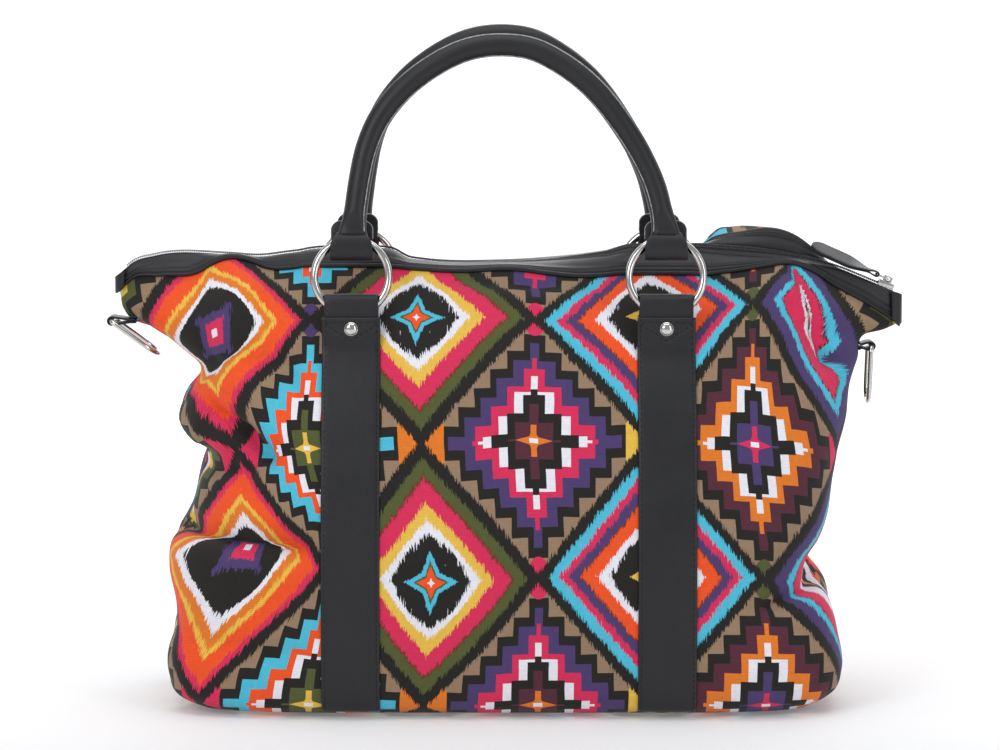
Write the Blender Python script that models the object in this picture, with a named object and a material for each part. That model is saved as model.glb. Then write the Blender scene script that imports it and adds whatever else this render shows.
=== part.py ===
"""A zipped canvas holdall: a stuffed printed body under a curved zip, two leather straps that run
round it, and two rolled handles that hang on steel rings. Metres, +Z up, the front faces -Y."""
import math

import bmesh
import bpy
import numpy as np
from mathutils import Matrix, Vector

# Driving dimensions of the body
BODY_WIDTH = 0.490
BODY_DEPTH = 0.220
ZIP_LENGTH = 0.566
RIDGE_HEIGHT = 0.3158
RIDGE_HALF = 0.0055
END_COLUMNS = 12
MIDDLE_COLUMNS = 8
ROW_COUNT = 31

# Leather straps, bindings and the gap that sewn pieces keep to each other
LEATHER = 0.0022
BINDING_LEATHER = 0.0018
GAP = 0.0004
STRAP_WIDTH = 0.040
STRAP_SPACING = 0.2234
STRAP_RELIEF = 0.020

# Carrying rings, handles and their loops
RING_RADIUS = 0.0264
RING_WIRE = 0.0027
RING_CENTRE_HEIGHT = 0.3108
RING_LEAN = math.radians(8)
RING_SWING = math.radians(20)
RUN_CLEARANCE = 0.0004
HANDLE_DIAMETER = 0.0166
HANDLE_RISE = 0.141
BACK_HANDLE_RISE = 0.147
TAB_WIDTH = 0.031
TAB_THICKNESS = 0.0056
TAB_WALL = 0.0018
TAB_LENGTH = 0.036

# Rivets
RIVET_RADIUS = 0.005
RIVET_RISE = 0.0024
RIVET_DROP = 0.0068

# Zip
TAPE_THICKNESS = 0.0008
COIL_WIDTH = 0.0022
COIL_HEIGHT = 0.0022
SLIDER_LENGTH = 0.012
SLIDER_WIDTH = 0.0086
SLIDER_PLATE = 0.0014
SLIDER_FROM_TIP = 0.010
BRIDGE_HEIGHT = 0.0042
BRIDGE_LENGTH = 0.0066
LINK_WIRE = 0.0007
LINK_LENGTH = 0.0095
LINK_WIDTH = 0.0062
PULL_LENGTH = 0.056
PULL_WIDTH = 0.019
PULL_THICKNESS = 0.0026
PULL_TILT = math.radians(1.5)

# End rings
D_WIRE = 0.0018
D_WIDTH = 0.026
D_LENGTH = 0.041
D_TAB_WIDTH = 0.020
D_TAB_WALL = 0.0017
D_TAB_GAP = 0.0006
D_DROP_LEFT = 0.041
D_DROP_RIGHT = 0.0593
D_STALK_LEFT = 0.0095
D_STALK_RIGHT = 0.001
D_SWING_LEFT = math.radians(54)
D_SWING_RIGHT = math.radians(-2)

BLACK_LEATHER = (0.028, 0.028, 0.033)
STEEL = (0.62, 0.61, 0.58)


def smooth_line(points):
    """A smooth function through (position, value) points chosen by hand."""
    places = np.array([p[0] for p in points])
    values = np.array([p[1] for p in points])
    slopes = np.gradient(values, places)

    def value(place):
        place = min(max(place, places[0]), places[-1])
        k = min(int(np.searchsorted(places, place, side="right")) - 1, len(places) - 2)
        step = places[k + 1] - places[k]
        t = (place - places[k]) / step
        rise = values[k + 1] - values[k]
        a = slopes[k] * step - rise
        b = rise - slopes[k + 1] * step
        return float(values[k] + t * rise + t * (1 - t) * (a * (1 - t) + b * t))

    return value


def smooth_step(low, high, value):
    t = min(max((value - low) / (high - low), 0.0), 1.0)
    return t * t * (3 - 2 * t)


# Half depth of the body as a share of BODY_DEPTH / 2, by height share from the base to the
# canvas edge, and how square the plan is at that height
DEPTH_SHARE = smooth_line([(0, 0.84), (0.012, 0.91), (0.035, 0.955), (0.08, 0.985), (0.18, 1.0),
                           (0.32, 1.0), (0.48, 0.965), (0.62, 0.90), (0.74, 0.80), (0.84, 0.67),
                           (0.92, 0.56), (1, 0.48)])
SQUARENESS = smooth_line([(0, 6.0), (0.15, 5.2), (0.4, 3.8), (0.7, 2.9), (0.9, 2.3), (1, 2.0)])

# How far each end sags from BODY_WIDTH / 2, in metres, and how far it has flared to the zip's tip
SAG_LEFT = smooth_line([(0, -0.020), (0.025, -0.006), (0.07, 0.001), (0.16, 0.003), (0.24, -0.002),
                        (0.33, 0.002), (0.39, 0.001), (0.45, -0.010), (0.54, -0.020),
                        (0.61, -0.024), (0.67, -0.009), (0.715, -0.011), (0.77, -0.024),
                        (0.845, -0.013), (0.90, -0.003), (1, 0)])
FLARE_LEFT = smooth_line([(0, 0), (0.75, 0), (0.845, 0.34), (0.90, 0.74), (0.96, 0.96), (1, 1)])
SAG_RIGHT = smooth_line([(0, -0.026), (0.035, -0.010), (0.085, -0.004), (0.17, -0.007),
                         (0.25, -0.016), (0.325, -0.031), (0.39, -0.023), (0.475, -0.014),
                         (0.58, -0.010), (0.69, -0.002), (0.78, 0), (1, 0)])
FLARE_RIGHT = smooth_line([(0, 0), (0.77, 0.05), (0.85, 0.26), (0.915, 0.36), (0.955, 0.70),
                           (1, 1)])

# Heights over RIDGE_HEIGHT along the zip, by share of half the zip's length
RIDGE_RISE = smooth_line([(-1, -0.0095), (-0.97, -0.001), (-0.91, 0.0046), (-0.72, 0.0056),
                          (-0.64, 0.0042), (-0.56, 0.0068), (-0.46, 0.0096), (-0.33, 0.0084),
                          (-0.27, 0.0034), (-0.21, 0.0009), (-0.02, 0), (0.143, 0.003),
                          (0.285, 0.0078), (0.335, 0.0098), (0.48, 0.0104), (0.60, 0.0085),
                          (0.68, 0.0063), (0.775, 0.0016), (0.83, -0.0028), (0.86, -0.0056)])
STRAIGHT_FROM = 0.86
STRAIGHT_FALL = 0.118
FRONT_EDGE_RISE = smooth_line([(-1, -0.020), (-0.965, -0.0105), (-0.89, -0.0078), (-0.79, -0.0050),
                               (-0.755, 0.0008), (-0.71, 0.0048), (-0.665, 0.0026), (-0.625, -0.0020),
                               (-0.50, -0.0006), (-0.30, -0.0015), (-0.12, -0.0040), (0.02, -0.0030),
                               (0.10, -0.0060), (0.17, -0.0080), (0.31, -0.0062), (0.50, -0.0066),
                               (0.655, -0.0018), (0.725, 0.0002), (0.775, -0.0050), (0.83, -0.0148),
                               (0.91, -0.0270), (1, -0.043)])
BACK_EDGE_RISE = smooth_line([(-1, -0.020), (-0.94, -0.0105), (-0.7, -0.0035), (-0.456, -0.0020),
                              (0, -0.0040), (0.33, -0.0030), (0.45, 0.0050), (0.52, 0.0135),
                              (0.60, 0.0190), (0.68, 0.0225), (0.73, 0.0185), (0.79, 0.0065),
                              (0.86, -0.0130), (0.92, -0.0270), (1, -0.043)])
EDGE_HALF_DEPTH = smooth_line([(-1, 0.012), (-0.785, 0.017), (-0.68, 0.015), (-0.456, 0.021),
                               (-0.2, 0.025), (0, 0.027), (0.33, 0.021), (0.585, 0.016),
                               (0.715, 0.014), (0.92, 0.013), (1, 0.011)])

# Folds and swellings of the canvas: side (-1 front, 1 back), start and end as shares of
# BODY_WIDTH / 2 and RIDGE_HEIGHT, half width and height in metres
FOLDS = [
    (-1, (-0.55, 0.385), (-1.00, 0.420), 0.010, -0.0085),
    (-1, (-0.60, 0.310), (-0.92, 0.330), 0.026, 0.0060),
    (-1, (-0.58, 0.470), (-0.80, 0.500), 0.022, 0.0050),
    (-1, (-0.86, 0.690), (-0.70, 0.590), 0.009, -0.0070),
    (-1, (-0.78, 0.760), (-0.66, 0.640), 0.016, 0.0065),
    (-1, (-0.98, 0.610), (-0.84, 0.615), 0.013, 0.0080),
    (-1, (-0.95, 0.560), (-0.76, 0.545), 0.008, -0.0070),
    (-1, (-0.78, 0.930), (-0.78, 0.860), 0.026, 0.0070),
    (-1, (-0.60, 0.130), (-1.02, 0.190), 0.012, -0.0035),
    (-1, (0.83, 0.900), (0.94, 0.790), 0.008, -0.0080),
    (-1, (0.80, 0.980), (0.86, 0.900), 0.018, 0.0060),
    (-1, (0.86, 0.700), (0.90, 0.560), 0.016, 0.0045),
    (-1, (0.90, 0.300), (0.74, 0.250), 0.009, -0.0065),
    (-1, (0.72, 0.380), (0.86, 0.420), 0.022, 0.0040),
    (-1, (0.66, 0.120), (0.88, 0.150), 0.028, 0.0040),
    (1, (0.64, 0.995), (0.82, 0.985), 0.019, 0.0260),
    (1, (-0.60, 0.330), (-0.95, 0.360), 0.010, -0.0065),
    (1, (-0.62, 0.700), (-0.86, 0.640), 0.010, -0.0060),
    (1, (0.62, 0.640), (0.90, 0.560), 0.010, -0.0060),
    (1, (0.66, 0.270), (0.92, 0.240), 0.024, 0.0050),
    (1, (-0.70, 0.520), (-0.88, 0.500), 0.026, 0.0050),
]

# The handle's centre line: share of half the strap spacing, share of the handle's rise
HANDLE_LINE = [(-1.0, 0.0), (-0.992, 0.10), (-0.985, 0.19), (-0.968, 0.33), (-0.935, 0.48),
               (-0.865, 0.62), (-0.74, 0.755), (-0.51, 0.895), (-0.27, 0.98), (-0.03, 1.0),
               (0.15, 0.98), (0.32, 0.915), (0.55, 0.78), (0.735, 0.61), (0.865, 0.43),
               (0.935, 0.285), (0.978, 0.16), (0.995, 0.08), (1.0, 0.0)]

# Values that follow from the dimensions above
HALF_ZIP = ZIP_LENGTH / 2
SLIDER_X = HALF_ZIP - SLIDER_FROM_TIP
STRAP_X = STRAP_SPACING / 2
STRAP_HALF = STRAP_WIDTH / 2
STRAP_EDGE = STRAP_X + STRAP_HALF
BASE_HEIGHT = LEATHER + GAP
BORE_SIDES = 24


def arc_in_tunnel(width):
    """Distance from a ring's centre to the middle of its arc in a tunnel, and half its height."""
    high = RING_RADIUS + RING_WIRE
    low = math.sqrt((RING_RADIUS - RING_WIRE) ** 2 - (width / 2) ** 2)
    return (high + low) / 2, (high - low) / 2


RING_TO_STRAP, STRAP_ARC_HALF = arc_in_tunnel(STRAP_WIDTH)
RING_TO_TAB, TAB_ARC_HALF = arc_in_tunnel(TAB_WIDTH)
LOOP_HALF_HEIGHT = STRAP_ARC_HALF + RUN_CLEARANCE
LOOP_HALF_THICK = (RING_WIRE + (STRAP_ARC_HALF - RING_WIRE) * math.sin(RING_SWING / 2)
                   + 2 * RUN_CLEARANCE)
RING_HINGE_HEIGHT = RING_CENTRE_HEIGHT - RING_TO_STRAP * math.cos(RING_LEAN)
SEAM_HEIGHT = RING_HINGE_HEIGHT - LOOP_HALF_HEIGHT - LEATHER
TAB_BORE = (TAB_ARC_HALF + RUN_CLEARANCE) / math.cos(math.pi / BORE_SIDES)


def strap_place(x):
    """The canvas lies flat across each strap, so x there counts as the strap's middle."""
    middle = math.copysign(STRAP_X, x)
    off = x - middle
    if abs(off) <= STRAP_HALF:
        return middle
    if abs(off) >= STRAP_HALF + STRAP_RELIEF:
        return x
    return middle + (off - math.copysign(STRAP_HALF, off)) * (STRAP_HALF / STRAP_RELIEF + 1)


def strap_mask(x):
    """0 under the straps, where nothing folds, and 1 away from them."""
    return smooth_step(STRAP_HALF, STRAP_HALF + STRAP_RELIEF, abs(abs(x) - STRAP_X))


def ridge_height(x):
    share = strap_place(x) / HALF_ZIP
    if share > STRAIGHT_FROM:
        return RIDGE_HEIGHT + RIDGE_RISE(STRAIGHT_FROM) - STRAIGHT_FALL * (share - STRAIGHT_FROM)
    return RIDGE_HEIGHT + RIDGE_RISE(share)


def edge_height(x, side):
    rise = FRONT_EDGE_RISE if side < 0 else BACK_EDGE_RISE
    return RIDGE_HEIGHT + rise(strap_place(x) / HALF_ZIP)


def tip_taper(x, power):
    return math.sqrt(max(1 - min(abs(x) / HALF_ZIP, 1) ** power, 0))


def end_reach(v, left):
    """Half width of the body at height share v, to the left or right end."""
    sag, flare = (SAG_LEFT, FLARE_LEFT) if left else (SAG_RIGHT, FLARE_RIGHT)
    return BODY_WIDTH / 2 + sag(v) + flare(v) * (ZIP_LENGTH - BODY_WIDTH) / 2


def half_depth(x, v):
    """Distance of the canvas from the plane y = 0 before it folds."""
    x = strap_place(x)
    reach = end_reach(v, x < 0)
    power = SQUARENESS(v)
    full = BODY_DEPTH / 2 * DEPTH_SHARE(v)
    bulge = full * max(1 - min(abs(x) / reach, 1) ** power, 0) ** (1 / power)
    edge = EDGE_HALF_DEPTH(x / HALF_ZIP) * tip_taper(x, 10)
    blend = max((v - 0.8) / 0.2, 0) ** 3
    return bulge * (1 - blend) + edge * blend


def end_columns(v, left):
    """(x, depth) from the strap's outer edge to the end seam, evenly spaced along the canvas."""
    reach = end_reach(v, left)
    sign = -1 if left else 1
    fine = []
    for k in range(81):
        x = STRAP_EDGE + (reach - STRAP_EDGE) * math.sin(k / 80 * math.pi / 2)
        fine.append((x, half_depth(sign * min(x, reach * 0.999999), v)))
    fine[-1] = (reach, 0.0)
    fine = np.array(fine)
    run = np.concatenate([[0], np.cumsum(np.hypot(*np.diff(fine, axis=0).T))])
    wanted = np.linspace(0, run[-1], END_COLUMNS + 1)
    xs = np.interp(wanted, run, fine[:, 0])
    ys = np.interp(wanted, run, fine[:, 1])
    return [(sign * x, y) for x, y in zip(xs, ys)]


def columns(v):
    """(x, depth) of every column from the left seam to the right seam."""
    left = end_columns(v, True)[::-1]
    right = end_columns(v, False)
    inner = STRAP_X - STRAP_HALF
    middle = [-STRAP_X] + list(np.linspace(-inner, inner, MIDDLE_COLUMNS + 1)) + [STRAP_X]
    return left + [(float(x), half_depth(float(x), v)) for x in middle] + right


def fold_height(x, z, side):
    total = 0.0
    for fold_side, start, end, width, height in FOLDS:
        if fold_side != side:
            continue
        a = Vector((start[0] * BODY_WIDTH / 2, start[1] * RIDGE_HEIGHT))
        b = Vector((end[0] * BODY_WIDTH / 2, end[1] * RIDGE_HEIGHT))
        along = b - a
        p = Vector((x, z))
        t = min(max((p - a).dot(along) / along.length_squared, 0), 1)
        distance = (p - a - along * t).length
        total += height * math.exp(-(distance / width) ** 2)
    ripple = 0.0012 * math.sin(x * 61 + side) * math.sin(z * 47 + 2 * side + x * 23)
    return (total + ripple) * strap_mask(x)


ROW_SHARES = [0, 0.010, 0.026, 0.048] + list(np.linspace(0.078, 1, ROW_COUNT - 4))
ROOF_SHARES = [0.34, 0.68, 1.0]


def canvas_grid(side):
    """Rows of points from the base to the zip, each from the left seam to the right seam."""
    rows = []
    for v in ROW_SHARES:
        row = []
        for x, depth in columns(v):
            z = BASE_HEIGHT + v * (edge_height(x, side) - BASE_HEIGHT)
            row.append(Vector((x, side * depth, z)))
        rows.append(row)
    for share in ROOF_SHARES:
        row = []
        for p in rows[len(ROW_SHARES) - 1]:
            half = RIDGE_HALF * tip_taper(p.x, 60)
            crown = 0.0015 * math.sin(share * math.pi) * tip_taper(p.x, 20)
            y = abs(p.y) + (half - abs(p.y)) * share
            z = p.z + (ridge_height(p.x) - p.z) * share + crown
            row.append(Vector((p.x, side * y, z)))
        rows.append(row)
    return rows


def outward_normals(rows, side):
    """Directions away from the canvas, kept off the zip tape along the last row."""
    normals = []
    for r, row in enumerate(rows):
        line = []
        for c, _ in enumerate(row):
            across = row[min(c + 1, len(row) - 1)] - row[max(c - 1, 0)]
            up = rows[min(r + 1, len(rows) - 1)][c] - rows[max(r - 1, 0)][c]
            way = (across.cross(up) * -side).normalized()
            if r == len(rows) - 1:
                way = Vector((way.x, side * max(way.y * side, 0), way.z)).normalized()
            line.append(way)
        normals.append(line)
    return normals


def folded_grids():
    """The front and back panels with their folds, sharing the end seams."""
    plain = {side: canvas_grid(side) for side in (-1, 1)}
    normals = {side: outward_normals(plain[side], side) for side in (-1, 1)}
    moved = {}
    for side in (-1, 1):
        rows = []
        for r, row in enumerate(plain[side]):
            v = ROW_SHARES[r] if r < len(ROW_SHARES) else 1.0
            settle = smooth_step(0.0, 0.06, v)
            hold = 1.0 if r < len(ROW_SHARES) else 1 - ROOF_SHARES[r - len(ROW_SHARES)]
            hold *= 1 - 0.75 * smooth_step(0.93, 1.0, v)
            line = []
            for c, p in enumerate(row):
                if c in (0, len(row) - 1):
                    line.append(p.copy())
                    continue
                height = fold_height(p.x, p.z, side) * settle * hold
                room = smooth_step(0, 0.030, abs(p.y))
                line.append(p + normals[side][r][c] * height * room)
            rows.append(line)
        moved[side] = rows
    return moved


def material(name, color, roughness, metallic=0.0):
    made = bpy.data.materials.new(name)
    made.use_nodes = True
    shader = made.node_tree.nodes["Principled BSDF"]
    shader.inputs["Base Color"].default_value = (*color, 1)
    shader.inputs["Roughness"].default_value = roughness
    shader.inputs["Metallic"].default_value = metallic
    return made


def add_object(name, mesh, collection, finish, smooth_angle=None):
    made = bpy.data.objects.new(name, mesh)
    collection.objects.link(made)
    mesh.materials.clear()
    mesh.materials.append(finish)
    if smooth_angle:
        mesh.shade_smooth()
        mesh.set_sharp_from_angle(angle=math.radians(smooth_angle))
    return made


def mesh_from_faces(name, points, faces):
    """A closed mesh from shared points, with its normals turned outwards."""
    mesh = bpy.data.meshes.new(name)
    mesh.from_pydata([tuple(p) for p in points], [], faces)
    bm = bmesh.new()
    bm.from_mesh(mesh)
    bmesh.ops.recalc_face_normals(bm, faces=bm.faces)
    bm.to_mesh(mesh)
    bm.free()
    return mesh


def two_triangles(a, b, c, d):
    """A bent quad split from its first corner, the same way on every layer."""
    return [(a, b, c), (a, c, d)]


def body_mesh(grids):
    """Both panels joined at the end seams, closed under the base and along the ridge."""
    front, back = grids[-1], grids[1]
    count = len(front[0])
    points = []
    rings = []
    for f_row, b_row in zip(front, back):
        ring = list(range(len(points), len(points) + 2 * count - 2))
        points += f_row + b_row[-2:0:-1]
        rings.append(ring)
    size = 2 * count - 2
    faces = []
    for lower, upper in zip(rings, rings[1:]):
        for k in range(size):
            n = (k + 1) % size
            if k < count - 1:
                faces += two_triangles(lower[k], lower[n], upper[n], upper[k])
            else:
                faces += two_triangles(lower[n], upper[n], upper[k], lower[k])
    for ring in (rings[0], rings[-1]):
        for k in range(count - 1):
            quad = [ring[k], ring[k + 1], ring[(size - k - 1) % size], ring[(size - k) % size]]
            faces.append(tuple(dict.fromkeys(quad)))
    return mesh_from_faces("canvas_body", points, faces)


def shell_mesh(name, outer, inner):
    """A strip of leather between two matching grids of points."""
    rows, count = len(outer), len(outer[0])
    points = [p for row in outer for p in row] + [p for row in inner for p in row]
    shift = rows * count
    faces = []
    for r in range(rows - 1):
        for c in range(count - 1):
            a = r * count + c
            for face in two_triangles(a, a + 1, a + count + 1, a + count):
                faces.append(face)
                faces.append(tuple(shift + k for k in face[::-1]))
    rim = [(0, c) for c in range(count)] + [(r, count - 1) for r in range(1, rows)]
    rim += [(rows - 1, c) for c in range(count - 2, -1, -1)] + [(r, 0) for r in range(rows - 2, 0, -1)]
    for (r0, c0), (r1, c1) in zip(rim, rim[1:] + rim[:1]):
        a, b = r0 * count + c0, r1 * count + c1
        faces.append((a, b, shift + b, shift + a))
    return mesh_from_faces(name, points, faces)


def offset_rows(rows, normals, distance):
    return [[p + n * distance for p, n in zip(row, line)] for row, line in zip(rows, normals)]


def pulled_back(rows, distance):
    """Rows whose two end columns are drawn in, so that the next piece has its gap."""
    drawn = []
    for row in rows:
        line = list(row)
        for end, near in ((0, 1), (-1, -2)):
            reach = line[near] - line[end]
            line[end] = line[end] + reach * (distance / reach.length)
        drawn.append(line)
    return drawn


BINDING_FIRST_ROW = len(ROW_SHARES) - 2


def add_bindings(grids, parts, leather):
    """The front and back bands lap over the canvas edge and rise to the zip tape."""
    for side, name in ((-1, "binding_front"), (1, "binding_back")):
        rows = grids[side][BINDING_FIRST_ROW:]
        normals = outward_normals(grids[side], side)[BINDING_FIRST_ROW:]
        rows = [row[1:-1] for row in rows]
        normals = [line[1:-1] for line in normals]
        inner = pulled_back(offset_rows(rows, normals, GAP), GAP)
        outer = pulled_back(offset_rows(rows, normals, GAP + BINDING_LEATHER), GAP)
        add_object(name, shell_mesh(name, outer, inner), parts, leather, 40)


def add_zip_ends(grids, parts, leather):
    """Each tip of the zip is closed by a folded piece of leather round the end seam."""
    normals = {side: outward_normals(grids[side], side) for side in (-1, 1)}
    for name, near, end in (("zip_end_left", 1, 0), ("zip_end_right", -2, -1)):
        away = Vector((-1 if end == 0 else 1, 0, 0))
        outer, inner = [], []
        for r in range(len(ROW_SHARES) - 1, len(grids[-1])):
            line = [grids[-1][r][near], grids[-1][r][end], grids[1][r][near]]
            ways = [normals[-1][r][near], away, normals[1][r][near]]
            for kind, distance in ((inner, GAP), (outer, GAP + BINDING_LEATHER)):
                moved = [p + n * distance for p, n in zip(line, ways)]
                for side in (0, 2):
                    reach = moved[1] - moved[side]
                    moved[side] += reach * (GAP / reach.length)
                kind.append(moved)
        add_object(name, shell_mesh(name, outer, inner), parts, leather)


def ridge_stations(grids, first, last):
    """Points along the middle of the ridge, with the way up there."""
    xs = [p.x for p in grids[-1][-1][first:last]]
    stations = []
    for x in xs:
        step = 0.002
        slope = (ridge_height(x + step) - ridge_height(x - step)) / (2 * step)
        up = Vector((-slope, 0, 1)).normalized()
        stations.append((Vector((x, 0, ridge_height(x))), up))
    return stations


def swept_mesh(name, stations, section):
    """A section of (y, height) points swept along the ridge, with flat ends."""
    points = []
    for place, up in stations:
        for y, height in section:
            points.append(place + Vector((0, y, 0)) + up * height)
    size = len(section)
    faces = []
    for k in range(len(stations) - 1):
        for c in range(size):
            n = (c + 1) % size
            faces.append((k * size + c, k * size + n, (k + 1) * size + n, (k + 1) * size + c))
    faces.append(tuple(range(size)))
    faces.append(tuple(range(len(points) - size, len(points))))
    return mesh_from_faces(name, points, faces)


def add_zip_rows(grids, parts, tape, coil):
    """Each half of the zip is a tape that lies on the ridge and a coil sewn to its edge."""
    stations = ridge_stations(grids, 2, -1)
    tape_top = GAP + TAPE_THICKNESS
    coil_low = tape_top + GAP
    coil_high = coil_low + COIL_HEIGHT
    edge = RIDGE_HALF - GAP
    inset = COIL_HEIGHT / 4
    for side, name in ((-1, "front"), (1, "back")):
        near = side * GAP / 2
        section = [(near, GAP), (side * edge, GAP), (side * edge, tape_top), (near, tape_top)]
        add_object("zip_tape_" + name, swept_mesh("zip_tape_" + name, stations, section),
                   parts, tape)
        far = side * (GAP / 2 + COIL_WIDTH)
        bend = side * (GAP / 2 + COIL_WIDTH - inset)
        section = [(near, coil_low), (bend, coil_low), (far, coil_low + inset),
                   (far, coil_high - inset), (bend, coil_high), (near, coil_high)]
        add_object("zip_coil_" + name, swept_mesh("zip_coil_" + name, stations, section),
                   parts, coil, 50)
    return coil_high


def strap_contour(grids, side, column):
    """The canvas contour in the plane of a strap's middle, from the base up to the seam."""
    line = [Vector((row[column].y, row[column].z)) for row in grids[side][:len(ROW_SHARES)]]
    below = [p for p in line if p.y < SEAM_HEIGHT - GAP]
    start, end = below[-1], line[len(below)]
    share = (SEAM_HEIGHT - start.y) / (end.y - start.y)
    return below + [start.lerp(end, share)]


def mitred(line, distance):
    """The open line moved sideways to its right, keeping every facet's own distance."""
    ways = [(b - a).normalized() for a, b in zip(line, line[1:])]
    moved = []
    for k, p in enumerate(line):
        before = ways[max(k - 1, 0)]
        after = ways[min(k, len(ways) - 1)]
        normal = Vector((before.y + after.y, -before.x - after.x)).normalized()
        moved.append(p + normal * (distance / normal.dot(Vector((after.y, -after.x)))))
    return moved


def loop_centre(contours, side):
    """Middle of the ring tunnels of one handle, which stand just off the canvas at the seam."""
    clear = max(abs(contour[-1].x) for contour in contours) + GAP + LEATHER + LOOP_HALF_THICK
    return Vector((side * clear, RING_HINGE_HEIGHT))


def stadium(centre, half_thick, half_height, start, end, steps):
    """Points round an upright slot, from one angle to another, in degrees."""
    points = []
    lift = half_height - half_thick
    for k in range(steps + 1):
        angle = math.radians(start + (end - start) * k / steps)
        up = lift if math.sin(angle) > 1e-6 else -lift
        points.append(centre + Vector((half_thick * math.cos(angle),
                                       half_thick * math.sin(angle) + up)))
    return points


def add_straps(grids, parts, leather):
    """Each strap is one strip with a tunnel for a ring at both ends."""
    places = {"left": (-STRAP_X, END_COLUMNS + 1),
              "right": (STRAP_X, END_COLUMNS + MIDDLE_COLUMNS + 3)}
    fronts = {end: strap_contour(grids, -1, column) for end, (_, column) in places.items()}
    backs = {end: strap_contour(grids, 1, column) for end, (_, column) in places.items()}
    hinges = (loop_centre(fronts.values(), -1), loop_centre(backs.values(), 1))
    thick = LOOP_HALF_THICK + LEATHER
    height = LOOP_HALF_HEIGHT + LEATHER
    front_loop = stadium(hinges[0], thick, height, 222, 0, 16)
    back_loop = stadium(hinges[1], thick, height, 180, -42, 16)
    holes = [stadium(centre, LOOP_HALF_THICK, LOOP_HALF_HEIGHT, 0, 360, 20)[:-1]
             for centre in hinges]
    faces = {}
    for end, (x, _) in places.items():
        contour = fronts[end][::-1] + backs[end]
        inner = mitred(contour, GAP)
        faces[end] = mitred(contour, GAP + LEATHER)
        outline = faces[end] + back_loop[::-1] + inner[::-1] + front_loop[::-1]
        curve = bpy.data.curves.new("strap_" + end, "CURVE")
        curve.dimensions = "2D"
        curve.fill_mode = "BOTH"
        curve.extrude = STRAP_HALF
        for ring in [outline] + holes:
            spline = curve.splines.new("POLY")
            spline.points.add(len(ring) - 1)
            for point, place in zip(spline.points, ring):
                point.co = (place.x, place.y, 0, 1)
            spline.use_cyclic_u = True
        curve.materials.append(leather)
        strap = bpy.data.objects.new("strap_" + end, curve)
        parts.objects.link(strap)
        strap.rotation_euler = (math.pi / 2, 0, math.pi / 2)
        strap.location = (x, 0, 0)
    return hinges, faces


def add_rings(hinges, parts, steel):
    """Four steel rings, each standing in its strap's tunnel and leaning to the middle."""
    tops = {}
    for side, label, hinge in ((-1, "front", hinges[0]), (1, "back", hinges[1])):
        lean = Vector((-side * math.sin(RING_LEAN), math.cos(RING_LEAN)))
        centre = hinge + lean * RING_TO_STRAP
        tops[side] = hinge + lean * (RING_TO_STRAP + RING_TO_TAB)
        for end, x in (("left", -STRAP_X), ("right", STRAP_X)):
            name = "ring_" + label + "_" + end
            pivot = bpy.data.objects.new(name + "_pivot", None)
            parts.objects.link(pivot)
            pivot.location = (x, hinge.x, hinge.y)
            pivot.rotation_euler = (side * RING_LEAN, 0, 0)
            bpy.ops.mesh.primitive_torus_add(major_radius=RING_RADIUS, minor_radius=RING_WIRE,
                                             major_segments=36, minor_segments=8,
                                             rotation=(math.pi / 2, 0, 0),
                                             location=(0, 0, RING_TO_STRAP))
            ring = bpy.context.object
            bpy.ops.object.transform_apply(location=True, rotation=True)
            ring.name = name
            ring.data.materials.append(steel)
            ring.data.shade_smooth()
            for owner in ring.users_collection:
                owner.objects.unlink(ring)
            parts.objects.link(ring)
            ring.parent = pivot
    return tops


def handle_stations(height):
    """Evenly spaced points of the handle's centre line with the distance to the nearer end."""
    share = np.array(HANDLE_LINE)
    run = np.concatenate([[0], np.cumsum(np.hypot(*np.diff(share, axis=0).T))])
    across = smooth_line(list(zip(run, share[:, 0] * STRAP_X)))
    rise = smooth_line(list(zip(run, share[:, 1] * height)))
    fine = np.linspace(0, run[-1], 400)
    line = np.array([(across(t), rise(t)) for t in fine])
    length = np.concatenate([[0], np.cumsum(np.hypot(*np.diff(line, axis=0).T))])
    total = length[-1]
    near = [0, 0.008, 0.013, 0.018, 0.023, 0.028, TAB_LENGTH, 0.046]
    wanted = near + list(np.linspace(0.058, total - 0.058, 27)) + [total - d for d in near[::-1]]
    stations = []
    for d in wanted:
        x, z = np.interp(d, length, line[:, 0]), np.interp(d, length, line[:, 1])
        stations.append((Vector((float(x), float(z))), min(d, total - d)))
    return stations


def handle_section(distance):
    """Width and thickness of the rolled handle by distance from its ring."""
    blend = smooth_step(0.010, TAB_LENGTH, distance)
    width = TAB_WIDTH - 0.0006 + (HANDLE_DIAMETER - TAB_WIDTH) * blend
    thick = TAB_THICKNESS + (HANDLE_DIAMETER - TAB_THICKNESS) * blend
    power = 4.5 - 2.5 * blend
    return width / 2, thick / 2, power


def handle_mesh(height):
    """The rolled handle in its own plane, with its ring tunnels on the local X axis."""
    stations = handle_stations(height)
    sides = 12
    points, faces = [], []
    for k, (place, distance) in enumerate(stations):
        before = stations[max(k - 1, 0)][0]
        after = stations[min(k + 1, len(stations) - 1)][0]
        way = (after - before).normalized()
        if distance < 0.010:
            way = Vector((0, 1 if k < len(stations) / 2 else -1))
        wide = Vector((way.y, -way.x))
        half_w, half_t, power = handle_section(distance)
        for c in range(sides):
            angle = 2 * math.pi * (c + 0.5) / sides
            cx, cy = math.cos(angle), math.sin(angle)
            u = math.copysign(abs(cx) ** (2 / power), cx) * half_w
            w = math.copysign(abs(cy) ** (2 / power), cy) * half_t
            points.append(Vector((place.x + wide.x * u, w, place.y + wide.y * u)))
    for k in range(len(stations) - 1):
        for c in range(sides):
            n = (c + 1) % sides
            a = k * sides
            faces.append((a + c, a + n, a + sides + n, a + sides + c))
    faces.append(tuple(range(sides)))
    faces.append(tuple(range(len(points) - sides, len(points))))
    return mesh_from_faces("handle", points, faces)


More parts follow.
